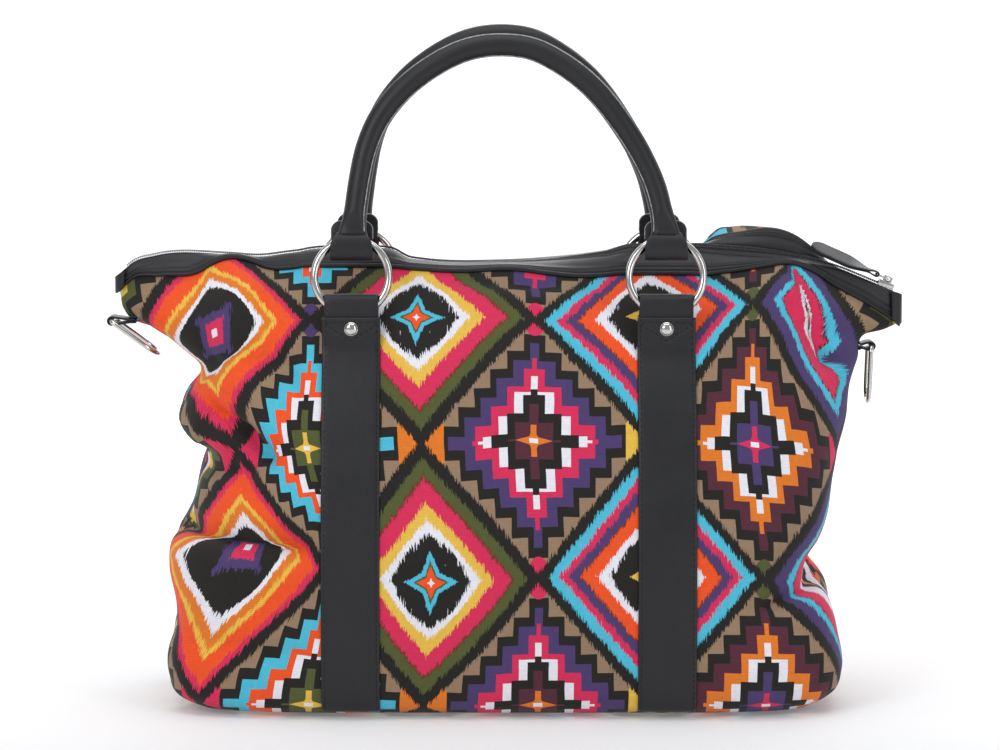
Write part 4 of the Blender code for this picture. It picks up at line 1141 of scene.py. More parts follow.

# %% [markdown]
# ### Thread, tape and nylon
#
# Three blacks have to look different. Thread is matt and twisted, the tape is a twill of fine
# diagonal lines with painted shade between them, and the nylon teeth are smooth and a little
# lighter, which makes the zip readable.

# %% Thread, tape and nylon
def object_noise(tree, scale, detail=3.0):
    place = tree.nodes.new("ShaderNodeTexCoord")
    return noise(tree, place.outputs["Object"], scale, detail)


def thread_material():
    made, tree, shader = material_with("black thread")
    shader.inputs["Base Color"].default_value = (0.004, 0.004, 0.0045, 1)
    shader.inputs["Roughness"].default_value = 0.60
    shader.inputs["Specular IOR Level"].default_value = 0.25
    twist = object_noise(tree, 2400, 1)
    bumped(tree, shader, twist.socket, 0.0001, 0.5)
    return made


def tape_material():
    made, tree, shader = material_with("woven tape")
    place = tree.nodes.new("ShaderNodeTexCoord")
    x, y, _ = split(tree, place.outputs["Object"])
    twill = ((x + abs(y)) * (2 * math.pi / 0.0009)).math("SINE") * 0.5 + 0.5
    fuzz = noise(tree, place.outputs["Object"], 1500, 2)
    # Random fuzz, plus painted shade that darkens the tape between the twill lines.
    twill_shade_and_fuzz = twill * 0.5 + fuzz * 0.4 + 0.4
    tone = tree.nodes.new("ShaderNodeMix")
    tone.data_type = "RGBA"
    tone.blend_type = "MULTIPLY"
    tone.inputs[0].default_value = 1.0
    tone.inputs[6].default_value = (0.016, 0.016, 0.018, 1)
    tree.links.new(twill_shade_and_fuzz.socket, tone.inputs[7])
    tree.links.new(tone.outputs[2], shader.inputs["Base Color"])
    shader.inputs["Roughness"].default_value = 0.85
    shader.inputs["Sheen Weight"].default_value = 0.2
    bumped(tree, shader, twill.socket, 0.00015, 0.8)
    return made


def nylon_material():
    made, tree, shader = material_with("nylon teeth")
    shader.inputs["Base Color"].default_value = (0.040, 0.040, 0.044, 1)
    rub = object_noise(tree, 700, 2)
    tree.links.new((rub * 0.25 + 0.2).socket, shader.inputs["Roughness"])
    return made


thread = thread_material()
woven_tape = tape_material()
nylon = nylon_material()
print("sewing and zip materials ready")

# %% [markdown]
# ### Metal, cut edges and a painted highlight
#
# Nickel plate is a metal with a warm grey tint. A real ring has a haze of fine scratches, which is a
# low roughness that varies. The cut edge of coated leather shows its pale backing, and the same pale
# grey paints a highlight along the top of each handle.

# %% Nickel and raw edge
def nickel_material():
    made, tree, shader = material_with("bright nickel")
    shader.inputs["Base Color"].default_value = (0.62, 0.605, 0.575, 1)
    shader.inputs["Metallic"].default_value = 1.0
    haze = object_noise(tree, 90, 4)
    tree.links.new((haze * 0.14 + 0.10).socket, shader.inputs["Roughness"])
    polish = object_noise(tree, 1800, 2)
    bumped(tree, shader, polish.socket, 0.00002, 0.35)
    return made


def raw_edge_and_highlight_material():
    """The cut edge of the leather, where its pale backing shows, also used for a painted highlight.
    """
    made, tree, shader = material_with("raw edge")
    streaks = object_noise(tree, 420, 3)
    color = bands(tree, streaks, [(0, (0.20, 0.20, 0.21)), (0.44, (0.30, 0.30, 0.31)),
                                  (0.56, (0.38, 0.38, 0.39))])
    tree.links.new(color, shader.inputs["Base Color"])
    shader.inputs["Roughness"].default_value = 0.55
    return made


nickel = nickel_material()
raw_edge_and_highlight = raw_edge_and_highlight_material()
print("materials", len(bpy.data.materials))

# %% [markdown]
# ## Shapes swept along a line
#
# A strap, a loop and a ring are all one section carried along a line. `ribbon` sweeps a flat
# strip with rounded edges, `tube` sweeps a round wire. Both close their ends, so every piece is
# one closed skin.

# %% Sections and skins
def section_points(half_width, half_thick, edge_steps=3, flat_steps=8):
    """A flat section with round edges: (across, height) points in order round it."""
    radius = half_thick
    flat = half_width - radius
    top = [(x, half_thick) for x in np.linspace(-flat, flat, flat_steps + 1)]
    right = [(flat + radius * math.cos(a), radius * math.sin(a))
             for a in np.linspace(math.pi / 2, -math.pi / 2, 2 * edge_steps + 1)[1:-1]]
    return top + right + [(-x, -h) for x, h in top] + [(-x, -h) for x, h in right]


def skin(name, rings, closed=False):
    """A closed mesh through rings of points, capped at both ends unless it comes round."""
    size = len(rings[0])
    points = [tuple(p) for ring in rings for p in ring]
    faces = []
    steps = len(rings) if closed else len(rings) - 1
    for k in range(steps):
        low, high = k * size, (k + 1) % len(rings) * size
        for c in range(size):
            n = (c + 1) % size
            faces.append((low + c, low + n, high + n, high + c))
    if not closed:
        faces.append(tuple(range(size))[::-1])
        faces.append(tuple(range(len(points) - size, len(points))))
    mesh = bpy.data.meshes.new(name)
    mesh.from_pydata(points, [], faces)
    bm = bmesh.new()
    bm.from_mesh(mesh)
    bmesh.ops.recalc_face_normals(bm, faces=bm.faces)
    bm.to_mesh(mesh)
    bm.free()
    mesh.shade_smooth()
    return mesh


print("a strap's section has", len(section_points(0.02, 0.001)), "points")

# %% [markdown]
# ### Lines
#
# A line is a list of points. These give its direction, space its points evenly and soften its
# corners.

# %% Line helpers
def directions(line, closed=False):
    """The way along the line at each of its points."""
    count = len(line)
    ways = []
    for k in range(count):
        if closed:
            ways.append((line[(k + 1) % count] - line[k - 1]).normalized())
        else:
            ways.append((line[min(k + 1, count - 1)] - line[max(k - 1, 0)]).normalized())
    return ways


def resampled(line, step, closed=False):
    """The line again, with points evenly about step apart."""
    pts = np.array([tuple(p) for p in (list(line) + [line[0]] if closed else line)])
    run = np.concatenate([[0], np.cumsum(np.linalg.norm(np.diff(pts, axis=0), axis=1))])
    count = max(int(round(run[-1] / step)), 3)
    wanted = np.linspace(0, run[-1], count + 1)
    if closed:
        wanted = wanted[:-1]
    return [Vector([float(np.interp(d, run, pts[:, axis])) for axis in range(pts.shape[1])])
            for d in wanted]


def eased(line, rounds=2):
    """The open line with its corners softened. Its two ends stay."""
    for _ in range(rounds):
        line = [line[0]] + [(a + b * 2 + c) / 4 for a, b, c in zip(line, line[1:], line[2:])] \
            + [line[-1]]
    return line


print("line helpers ready")

# %% [markdown]
# ### Ribbons and tubes
#
# Curve objects with a bevel make tubes as well. Here the mesh is made directly, because a strap
# needs its own relief along the way and a pull changes its width.

# %% Ribbon and tube
def ribbon(name, line, x0, width, thick, closed=False, lift=None, widths=None, flat_steps=8):
    """A strip along a line of (y, z) points, width wide in X round x0.

    lift(across, k) pushes the strip outwards, to the right of its way along."""
    rings = []
    for k, (p, way) in enumerate(zip(line, directions(line, closed))):
        out = Vector((way.y, -way.x))
        wide = widths[k] if widths else width
        ring = []
        for across, height in section_points(wide / 2, thick / 2, flat_steps=flat_steps):
            far = height + (lift(across, k) if lift else 0.0)
            ring.append(Vector((x0 + across, p.x + out.x * far, p.y + out.y * far)))
        rings.append(ring)
    return skin(name, rings, closed)


def tube(name, line, radius, closed=False, sides=14):
    """A round wire along a line of points in space."""
    rings = []
    ways = directions(line, closed)
    side = ways[0].orthogonal().normalized()
    for p, way in zip(line, ways):
        side = (side - way * side.dot(way)).normalized()
        other = way.cross(side)
        rings.append([p + (side * math.cos(a) + other * math.sin(a)) * radius
                      for a in np.linspace(0, 2 * math.pi, sides + 1)[:-1]])
    return skin(name, rings, closed)


def joined_mesh(name, meshes):
    """Several closed meshes as one."""
    bm = bmesh.new()
    for part in meshes:
        bm.from_mesh(part)
        bpy.data.meshes.remove(part)
    made = bpy.data.meshes.new(name)
    bm.to_mesh(made)
    bm.free()
    made.shade_smooth()
    return made


print("sweeping helpers ready")

# %% [markdown]
# ### Rows of small things
#
# Stitches and zip teeth are the same job: one small shape repeated along a line. A Geometry Nodes
# tree does it. It resamples the lines at the pitch, stands a rounded block on every point, turns
# it along the line and varies it a little, so that no two stitches are quite alike.

# %% The repeating tree
def build_row_tree():
    tree = bpy.data.node_groups.new("row of pieces", "GeometryNodeTree")
    face = tree.interface
    face.new_socket("Geometry", in_out="INPUT", socket_type="NodeSocketGeometry")
    for label, kind, start in (("Pitch", "NodeSocketFloat", 0.004),
                               ("Size", "NodeSocketVector", (0.003, 0.001, 0.001)),
                               ("Variation", "NodeSocketFloat", 0.05),
                               ("Seed", "NodeSocketInt", 7),
                               ("Material", "NodeSocketMaterial", None)):
        made = face.new_socket(label, in_out="INPUT", socket_type=kind)
        if start is not None:
            made.default_value = start
    face.new_socket("Geometry", in_out="OUTPUT", socket_type="NodeSocketGeometry")

    def node(kind):
        return tree.nodes.new(kind)

    def link(a, out, b, place):
        tree.links.new(a.outputs[out], b.inputs[place])

    source, target = node("NodeGroupInput"), node("NodeGroupOutput")
    curve, spaced = node("GeometryNodeMeshToCurve"), node("GeometryNodeResampleCurve")
    spaced.mode = "LENGTH"
    block, rounded = node("GeometryNodeMeshCube"), node("GeometryNodeSubdivisionSurface")
    rounded.inputs["Level"].default_value = 1
    tangent, turn = node("GeometryNodeInputTangent"), node("FunctionNodeAlignRotationToVector")
    turn.axis = "X"
    rows, shake = node("GeometryNodeInstanceOnPoints"), node("FunctionNodeRandomValue")
    shake.data_type = "FLOAT"
    low, high = node("ShaderNodeMath"), node("ShaderNodeMath")
    low.operation, high.operation = "SUBTRACT", "ADD"
    low.inputs[0].default_value = high.inputs[0].default_value = 1.0
    real, finish = node("GeometryNodeRealizeInstances"), node("GeometryNodeSetMaterial")
    smooth = node("GeometryNodeSetShadeSmooth")

    link(source, "Geometry", curve, "Mesh")
    link(curve, "Curve", spaced, "Curve")
    link(source, "Pitch", spaced, "Length")
    link(source, "Size", block, "Size")
    link(block, "Mesh", rounded, "Mesh")
    link(tangent, "Tangent", turn, "Vector")
    link(spaced, "Curve", rows, "Points")
    link(rounded, "Mesh", rows, "Instance")
    link(turn, "Rotation", rows, "Rotation")
    link(source, "Variation", low, 1)
    link(source, "Variation", high, 1)
    tree.links.new(low.outputs[0], shake.inputs[2])
    tree.links.new(high.outputs[0], shake.inputs[3])
    tree.links.new(shake.outputs[1], rows.inputs["Scale"])
    link(source, "Seed", shake, "Seed")
    link(rows, "Instances", smooth, "Geometry")
    link(smooth, "Geometry", real, "Geometry")
    link(real, "Geometry", finish, "Geometry")
    link(source, "Material", finish, "Material")
    link(finish, "Geometry", target, "Geometry")
    return tree


row_tree = build_row_tree()
row_inputs = {item.name: item.identifier for item in row_tree.interface.items_tree
              if item.in_out == "INPUT"}
print("row tree has", len(row_tree.nodes), "nodes and takes", list(row_inputs))

# %% [markdown]
# ### Using the tree
#
# The lines go in as loose edges. The result is read back as a plain mesh, and the modifier goes.

# %% Rows as plain meshes
def row_mesh(name, lines, pitch, size, finish, variation=0.05, seed=7):
    """A plain mesh of small blocks along the lines."""
    points, edges = [], []
    for line in lines:
        edges += [(len(points) + k, len(points) + k + 1) for k in range(len(line) - 1)]
        points += [tuple(p) for p in line]
    mesh = bpy.data.meshes.new(name + "_lines")
    mesh.from_pydata(points, edges, [])
    guide = bpy.data.objects.new(name + "_lines", mesh)
    bpy.context.scene.collection.objects.link(guide)
    step = guide.modifiers.new("rows", "NODES")
    step.node_group = row_tree
    for label, value in (("Pitch", pitch), ("Size", size), ("Variation", variation),
                         ("Seed", seed), ("Material", finish)):
        step[row_inputs[label]] = value
    depsgraph = bpy.context.evaluated_depsgraph_get()
    made = bpy.data.meshes.new_from_object(guide.evaluated_get(depsgraph))
    made.name = name
    guide.modifiers.clear()
    bpy.data.objects.remove(guide)
    return made


print("rows of small things ready")

# %% [markdown]
# ## Bindings
#
# A leather band covers each raw edge of the canvas. Its lower edge is folded over a cord, which
# makes the welt that catches the light. The band then runs up over the roof of the bag to the zip
# with a few fine lengthwise ribs. The profile is (row, height above the canvas). As it is laid over
# the canvas rows themselves, the band can't float off the cloth or sink into it.

# %% Bindings with their welts
WELT_PROFILE = [(-0.34, 0.0004), (-0.34, 0.0014), (-0.20, 0.0025), (0.06, 0.0030), (0.34, 0.0026),
                (0.50, 0.0017), (0.60, 0.0013), (0.95, 0.0014), (1.10, 0.0020), (1.35, 0.0021),
                (1.50, 0.0014), (2.10, 0.0014), (2.30, 0.0019), (2.60, 0.0019), (2.75, 0.0014),
                (4.2, 0.0015), (5.6, 0.0015), (6.9, 0.0014), (7.5, 0.0013), (8.0, 0.0012)]


def roof_point(side, column, row, height):
    """A point over the canvas edge and roof: row 0 is the canvas edge and row 8 the ridge."""
    low = ROW_COUNT - 1 + math.floor(row)
    high = min(low + 1, len(panel_rows[side]) - 1)
    share = row - math.floor(row)
    place = panel_rows[side][low][column].lerp(panel_rows[side][high][column], share)
    normal = panel_normals[side][low][column].lerp(panel_normals[side][high][column], share)
    return place + normal.normalized() * height


def binding_mesh(side):
    under = [(row, GAP) for row in (8, 7, 6, 5, 4, 3, 2, 1, 0)]
    rings = []
    for column in range(1, len(panel_rows[side][0]) - 1):
        rings.append([roof_point(side, column, row, height)
                      for row, height in WELT_PROFILE + under])
    return skin("binding", rings)


for label, side in (("front", -1), ("back", 1)):
    band = make_object("leather_binding_" + label, binding_mesh(side), "bag", leather)
    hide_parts("binding_" + label)
print("bindings ready")

# %% [markdown]
# ### The ends of the zip
#
# Each tip of the zip is capped by a folded piece of leather that wraps round the end seam. It is
# built on the canvas rows that it covers, so it follows them without a modifier.

# %% Zip ends
END_WRAP = 3
CAP_OUTSIDE = 0.0043
CAP_INSIDE = 0.0031


def zip_end_mesh(left):
    count = len(panel_rows[-1][0])
    near = list(range(END_WRAP, 0, -1)) if left else list(range(count - 1 - END_WRAP, count - 1))
    seam = 0 if left else count - 1
    away = Vector((-1 if left else 1, 0, 0))
    rings = []
    for row in np.linspace(-0.75, 8.0, 22):
        row = float(row)
        low = ROW_COUNT - 1 + math.floor(row)
        seam_point = panel_rows[-1][low][seam].lerp(
            panel_rows[-1][min(low + 1, len(panel_rows[-1]) - 1)][seam], row - math.floor(row))
        ring = []
        for height in (CAP_OUTSIDE, CAP_INSIDE):
            line = [roof_point(-1, column, row, height) for column in near]
            line.append(seam_point + away * height * 0.8)
            line += [roof_point(1, column, row, height) for column in reversed(near)]
            ring += line if height == CAP_OUTSIDE else line[::-1]
        rings.append(ring)
    return skin("zip end", rings)


for label, left in (("left", True), ("right", False)):
    cap = make_object("leather_zip_end_" + label, zip_end_mesh(left), "bag", leather)
    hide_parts("zip_end_" + label)
print("zip ends ready")

# %% [markdown]
# ## The zip
#
# Two woven tapes lie along the ridge. On each sits a row of nylon teeth, offset by half a pitch
# from the other row so that the rows mesh, with a line of sewing beside it.

# %% Tapes, teeth and sewing
TAPE_THICKNESS = 0.0008
COIL_WIDTH = 0.0022
COIL_HEIGHT = 0.0022
TOOTH_PITCH = 0.0016
TOOTH_MIDDLE = 2 * GAP + TAPE_THICKNESS + COIL_HEIGHT / 2
TOOTH = (0.0012, COIL_WIDTH, COIL_HEIGHT)
ZIP_SEAM_OFFSET = 0.0041
ZIP_STITCH_PITCH = 0.0030
ZIP_STITCH = (0.0023, 0.0006, 0.0005)


def ridge_line(first, last, step, y, height):
    return [Vector((float(x), y, ridge_height(float(x)) + y * lean(float(x)) + height))
            for x in np.arange(first, last, step)]


def tape_mesh(side):
    first, last = panel_rows[-1][-1][2].x, panel_rows[-1][-1][-3].x
    edge = RIDGE_HALF - GAP
    section = [(side * GAP / 2, GAP), (side * edge, GAP), (side * edge, GAP + TAPE_THICKNESS),
               (side * GAP / 2, GAP + TAPE_THICKNESS)]
    rings = []
    for x in np.linspace(first, last, 190):
        z, slope = ridge_height(float(x)), lean(float(x))
        rings.append([Vector((float(x), y, z + y * slope + height)) for y, height in section])
    mesh = skin("tape", rings)
    mesh.shade_flat()
    return mesh


tip_left, tip_right = panel_rows[-1][-1][3].x, panel_rows[-1][-1][-4].x
sewing = []
for label, side, shift in (("front", -1, 0.0), ("back", 1, TOOTH_PITCH / 2)):
    tape = make_object("woven_tape_" + label, tape_mesh(side), "bag", woven_tape)
    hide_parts("zip_tape_" + label)
    line = ridge_line(tip_left + shift, tip_right, 0.004, side * (GAP / 2 + COIL_WIDTH / 2),
                      TOOTH_MIDDLE)
    teeth = row_mesh("teeth", [line], TOOTH_PITCH, TOOTH, nylon, variation=0.02, seed=3)
    coil = make_object("teeth_" + label, teeth, "bag", nylon)
    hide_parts("zip_coil_" + label)
    sewing.append(ridge_line(tip_left, tip_right, 0.004, side * ZIP_SEAM_OFFSET,
                             GAP + TAPE_THICKNESS))
seam = row_mesh("zip_sewing", sewing, ZIP_STITCH_PITCH, ZIP_STITCH, thread, variation=0.04, seed=5)
make_object("zip_sewing", seam, "bag", thread)
print("zip with", len(coil.data.polygons) // 24, "teeth a side")

# %% [markdown]
# ### The slider
#
# A cast slider has no knife edges. A bevel modifier would do, but a bevel on a copy of the CAD part
# leaves a plain mesh that is finished at once.

# %% Slider
SLIDER_BEVEL = 0.00035


def eased_copy(node, amount):
    """The CAD part's own mesh with every hard edge broken by a small bevel."""
    bm = bmesh.new()
    bm.from_mesh(nodes[node].data)
    bm.transform(nodes[node].matrix_world)
    bmesh.ops.remove_doubles(bm, verts=bm.verts, dist=1e-6)
    bmesh.ops.dissolve_limit(bm, angle_limit=0.02, verts=bm.verts, edges=bm.edges)
    hard = [e for e in bm.edges if len(e.link_faces) == 2 and e.calc_face_angle() > 0.6]
    bmesh.ops.bevel(bm, geom=hard, offset=amount, segments=2, affect="EDGES", profile=0.5,
                    clamp_overlap=True)
    made = bpy.data.meshes.new(node + "_eased")
    bm.to_mesh(made)
    bm.free()
    made.shade_smooth()
    made.set_sharp_from_angle(angle=math.radians(40))
    return made


slider = make_object("cast_slider", eased_copy("zip_slider", SLIDER_BEVEL), "zip_slider", nickel)
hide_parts("zip_slider")
print("slider", len(slider.data.polygons), "faces")

# %% [markdown]
# ### The link
#
# The link is bent wire, four straight runs with round corners. It lies along the zip on the hinge
# of the slider's bridge, and its frame carries the leather pull as well.

# %% Link
SLIDER_X = HALF_ZIP - 0.010
SLIDER_SLOPE = math.atan(STRAIGHT_FALL / HALF_ZIP)
SLIDER_PLATE = 0.0014
BRIDGE_HEIGHT = 0.0042
COIL_TOP = 2 * GAP + TAPE_THICKNESS + COIL_HEIGHT
EYE_HEIGHT = COIL_TOP + GAP + SLIDER_PLATE + BRIDGE_HEIGHT * 0.45
LINK_WIRE = 0.0007
LINK_LENGTH = 0.0095
LINK_WIDTH = 0.0062
LINK_CORNER = 0.0016
PULL_TILT = math.radians(1.5)

slider_turn = Matrix.Rotation(SLIDER_SLOPE, 4, "Y")
pull_hinge = (Vector((SLIDER_X, 0, ridge_height(SLIDER_X)))
              + slider_turn.to_3x3() @ Vector((0, 0, EYE_HEIGHT)))
pull_frame = Matrix.Translation(pull_hinge) @ Matrix.Rotation(SLIDER_SLOPE + PULL_TILT, 4, "Y")


def link_mesh():
    half, corner = LINK_WIDTH / 2, LINK_CORNER
    route = []
    for cx, cy, start in ((-LINK_LENGTH + corner, half - corner, 90),
                          (-LINK_LENGTH + corner, -half + corner, 180),
                          (-corner, -half + corner, 270), (-corner, half - corner, 0)):
        for k in range(9):
            angle = math.radians(start + 90 * k / 8)
            route.append(Vector((cx + corner * math.cos(angle), cy + corner * math.sin(angle), 0)))
    mesh = tube("link", route, LINK_WIRE, closed=True, sides=12)
    mesh.transform(pull_frame)
    return mesh


link = make_object("wire_link", link_mesh(), "zip_pull", nickel)
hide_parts("zip_pull_link")
print("pull hinge", [round(v, 4) for v in pull_hinge])

# %% [markdown]
# ### The leather pull
#
# One strip of leather is folded round the link and sewn to itself. It has taken a twist with use,
# so each point is turned a little more the further it lies from the link.

# %% Pull
PULL_OVERLAP = 0.0045
PULL_LENGTH = 0.056
PULL_FAR = -LINK_LENGTH + PULL_OVERLAP - PULL_LENGTH
PULL_HALF = 0.0095
PULL_LAYER = 0.0012
PULL_TWIST = math.radians(22)
PULL_SEAM_INSET = 0.0019
PULL_STITCH_PITCH = 0.0027
PULL_STITCH = (0.0020, 0.0005, 0.0004)
# Sends a ribbon's (across, along, height) to (along, across, height)
SWAP = Matrix(((0, 1, 0, 0), (1, 0, 0, 0), (0, 0, 1, 0), (0, 0, 0, 1)))


def pull_width(x):
    """Width of the pull along its length: round at the far end, a little narrower at the link."""
    from_end = x - PULL_FAR
    if from_end < PULL_HALF:
        return 2 * math.sqrt(max(PULL_HALF ** 2 - (PULL_HALF - from_end) ** 2, 0.0012 ** 2))
    return 2 * PULL_HALF * (1 - 0.30 * smooth_step(-LINK_LENGTH - 0.008, -LINK_LENGTH, x))


def pull_mesh():
    wrap = LINK_WIRE + 0.0003 + PULL_LAYER / 2
    ends = [PULL_FAR + PULL_HALF * (1 - math.cos(a)) for a in np.linspace(0.05, 1.5, 12)]
    run = ends + list(np.linspace(PULL_FAR + PULL_HALF + 0.001, -LINK_LENGTH, 26))
    layer = [(x, PULL_LAYER * 0.54 + (wrap - PULL_LAYER * 0.54)
              * smooth_step(-LINK_LENGTH - 0.007, -LINK_LENGTH - 0.001, x)) for x in run]
    bow = [(-LINK_LENGTH + wrap * math.sin(a), wrap * math.cos(a))
           for a in np.linspace(0.3, math.pi - 0.3, 7)]
    line = [Vector((x, h)) for x, h in layer + bow] + [Vector((x, -h)) for x, h in layer[::-1]]
    widths = [pull_width(min(p.x, -LINK_LENGTH)) for p in line]
    mesh = ribbon("pull", line, 0, 0, PULL_LAYER, widths=widths)
    mesh.transform(SWAP)
    for vertex in mesh.vertices:
        vertex.co = twisted(vertex.co)
    mesh.transform(pull_frame)
    return mesh


def twisted(p):
    """The leather has taken a twist: away from the link the pull leans to the front."""
    lean = PULL_TWIST * smooth_step(LINK_LENGTH + 0.002, LINK_LENGTH + 0.024, -p.x)
    return Matrix.Rotation(lean, 3, "X") @ p


def pull_stitch_lines():
    lines = []
    for face in (-1, 1):
        height = face * (PULL_LAYER * 1.06)
        run = np.linspace(-LINK_LENGTH - 0.006, PULL_FAR + PULL_HALF, 30)
        edge = [(x, pull_width(x) / 2 - PULL_SEAM_INSET) for x in run]
        inner = PULL_HALF - PULL_SEAM_INSET
        turn = [(PULL_FAR + PULL_HALF - inner * math.cos(a), inner * math.sin(a))
                for a in np.linspace(math.pi / 2, -math.pi / 2, 17)]
        line = edge + turn[1:-1] + [(x, -y) for x, y in edge[::-1]]
        lines.append([pull_frame @ twisted(Vector((float(x), float(y), height)))
                      for x, y in line])
    return lines


pull = make_object("folded_pull", pull_mesh(), "zip_pull", leather)
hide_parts("zip_pull_tab")
pull_sewing = row_mesh("pull_stitches", pull_stitch_lines(), PULL_STITCH_PITCH, PULL_STITCH, thread)
make_object("pull_stitches", pull_sewing, "zip_pull", thread)
print("pull", len(pull.data.polygons), "faces")

# %% [markdown]
# ## Rings, loops and straps
#
# The rings and their hinges stand where the CAD model has them. A narrow loop of leather holds
# each ring. The wide strap is sewn over the lower end of the loop, so the pointed end of the loop
# shows through it as a shallow V, and a rivet goes through both. A torus would do for a ring, but
# `tube` takes its lean and its place at once.

# %% Rings
RING_RADIUS = 0.0264
RING_WIRE = 0.0027
RING_CENTRE_HEIGHT = 0.3108
RING_LEAN = math.radians(8)
LOOP_WIDTH = 0.0382
TAB_WIDTH = 0.031
HINGE_Y = {-1: -0.06638, 1: 0.06679}


def arc_in_tunnel(width):
    """Distance from a ring's centre to the middle of its arc in a tunnel, and half its height."""
    high = RING_RADIUS + RING_WIRE
    low = math.sqrt((RING_RADIUS - RING_WIRE) ** 2 - (width / 2) ** 2)
    return (high + low) / 2, (high - low) / 2


RING_TO_STRAP = arc_in_tunnel(STRAP_WIDTH)[0]
RING_TO_TAB, TAB_ARC_HALF = arc_in_tunnel(TAB_WIDTH)
HINGE_Z = RING_CENTRE_HEIGHT - RING_TO_STRAP * math.cos(RING_LEAN)


def ring_mesh(side, x):
    lean = Vector((0, -side * math.sin(RING_LEAN), math.cos(RING_LEAN)))
    centre = Vector((x, HINGE_Y[side], HINGE_Z)) + lean * RING_TO_STRAP
    line = [centre + (Vector((1, 0, 0)) * math.cos(a) + lean * math.sin(a)) * RING_RADIUS
            for a in np.linspace(0, 2 * math.pi, 97)[:-1]]
    return tube("ring", line, RING_WIRE, closed=True, sides=20)


for side, label in ((-1, "front"), (1, "back")):
    for end, x in (("left", -STRAP_X), ("right", STRAP_X)):
        name = "ring_" + label + "_" + end
        ring = make_object("nickel_" + name, ring_mesh(side, x), name, nickel)
        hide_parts(name)
print("rings at", round(HINGE_Z, 4))

# %% [markdown]
# ### The line of a strap
#
# A strap follows the canvas from the front loop down, under the base and up the back. A shrinkwrap
# could lay it there, but the canvas rows already say where it goes, as a list of (y, height)
# points. The pointed end of the loop under it is a push outwards.

# %% Line and relief of a strap
STRAP_TOP = 0.2824
STRAP_WIDE = 0.0414
STRAP_THICK = 0.0020
LOOP_THICK = 0.0016
LOOP_SLOT = 0.00455
LOOP_FACE = 0.00005
V_TIP = 0.2652
V_SLOPE = 0.64
V_RELIEF = 0.0010


def strap_half(side, column):
    """(y, z) points of the strap's middle from the base up to its end at the ring."""
    points = [Vector((row[column].y, row[column].z)) for row in panel_rows[side][:ROW_COUNT]]
    reach = abs(HINGE_Y[side]) + LOOP_SLOT + LOOP_THICK + STRAP_THICK / 2 - V_RELIEF + LOOP_FACE
    line = []
    for p, way in zip(points, directions(points)):
        out = Vector((way.y, -way.x)) * side
        q = p + out * (GAP + STRAP_THICK / 2)
        if q.y > 0.25:
            q.x = side * max(abs(q.x), reach + (STRAP_TOP - q.y) * 0.02)
        if q.y > STRAP_TOP:
            break
        line.append(q)
    line.append(Vector((side * reach, STRAP_TOP)))
    return line


def strap_lift(line):
    """The relief of the loop's pointed end under the strap, for every point of its line."""
    def lift(across, k):
        edge = V_TIP + abs(across) * V_SLOPE
        roll = 0.0004 * smooth_step(STRAP_WIDE / 2 - 0.004, STRAP_WIDE / 2, abs(across))
        return V_RELIEF * smooth_step(-0.0010, 0.0012, line[k].y - edge) - roll

    return lift


def on_strap(line, ways, lift, x0, across, k, height):
    p, way = line[k], ways[k]
    out = Vector((way.y, -way.x))
    far = height + lift(across, k)
    return Vector((x0 + across, p.x + out.x * far, p.y + out.y * far))


print("V of the loop at", V_TIP, "m")

# %% [markdown]
# ### The strap and its sewing
#
# A seam runs down each edge. At each end one more crosses the strap, and another follows the V.

# %% Strap with its stitch lines
SEAM_INSET = 0.0023
V_SEAM_OFFSET = 0.0019
CROSS_SEAM_HALF = 0.0165
V_SEAM_HALF = 0.0175
STRAP_STITCH_PITCH = 0.0043
STRAP_STITCH = (0.0033, 0.0008, 0.0006)


def strap_pieces(x0, column):
    """The strap's mesh and the lines of its stitches."""
    front, back = strap_half(-1, column), strap_half(1, column)
    line = resampled(eased(front[::-1] + back, 3), 0.0016)
    lift = strap_lift(line)
    mesh = ribbon("strap", line, x0, STRAP_WIDE, STRAP_THICK, lift=lift, flat_steps=24)
    ways = directions(line)
    top = STRAP_THICK / 2 + 0.00005
    lines = []
    for across in (-STRAP_WIDE / 2 + SEAM_INSET, STRAP_WIDE / 2 - SEAM_INSET):
        lines.append([on_strap(line, ways, lift, x0, across, k, top)
                      for k in range(1, len(line) - 1)])
    for first, step in ((2, 1), (len(line) - 3, -1)):
        lines.append([on_strap(line, ways, lift, x0, float(a), first, top)
                      for a in np.linspace(-CROSS_SEAM_HALF, CROSS_SEAM_HALF, 12)])
        point = []
        for a in np.linspace(-V_SEAM_HALF, V_SEAM_HALF, 29):
            height = V_TIP + abs(a) * V_SLOPE + V_SEAM_OFFSET
            k = first
            while line[k].y > height:
                k += step
            point.append(on_strap(line, ways, lift, x0, float(a), k, top))
        lines.append(point)
    return mesh, lines, line


print("strap stitch", STRAP_STITCH[0], "m long")

# %% [markdown]
# ### The loops that hold the rings
#
# A strip of leather comes up from under the strap, bends over the wire of the ring and goes back
# down to the canvas. Its line is a short list of places with a half circle in it, eased afterwards.

# %% Loop
LOOP_FOOT = STRAP_TOP - 0.0035
LOOP_RISE = 0.0096


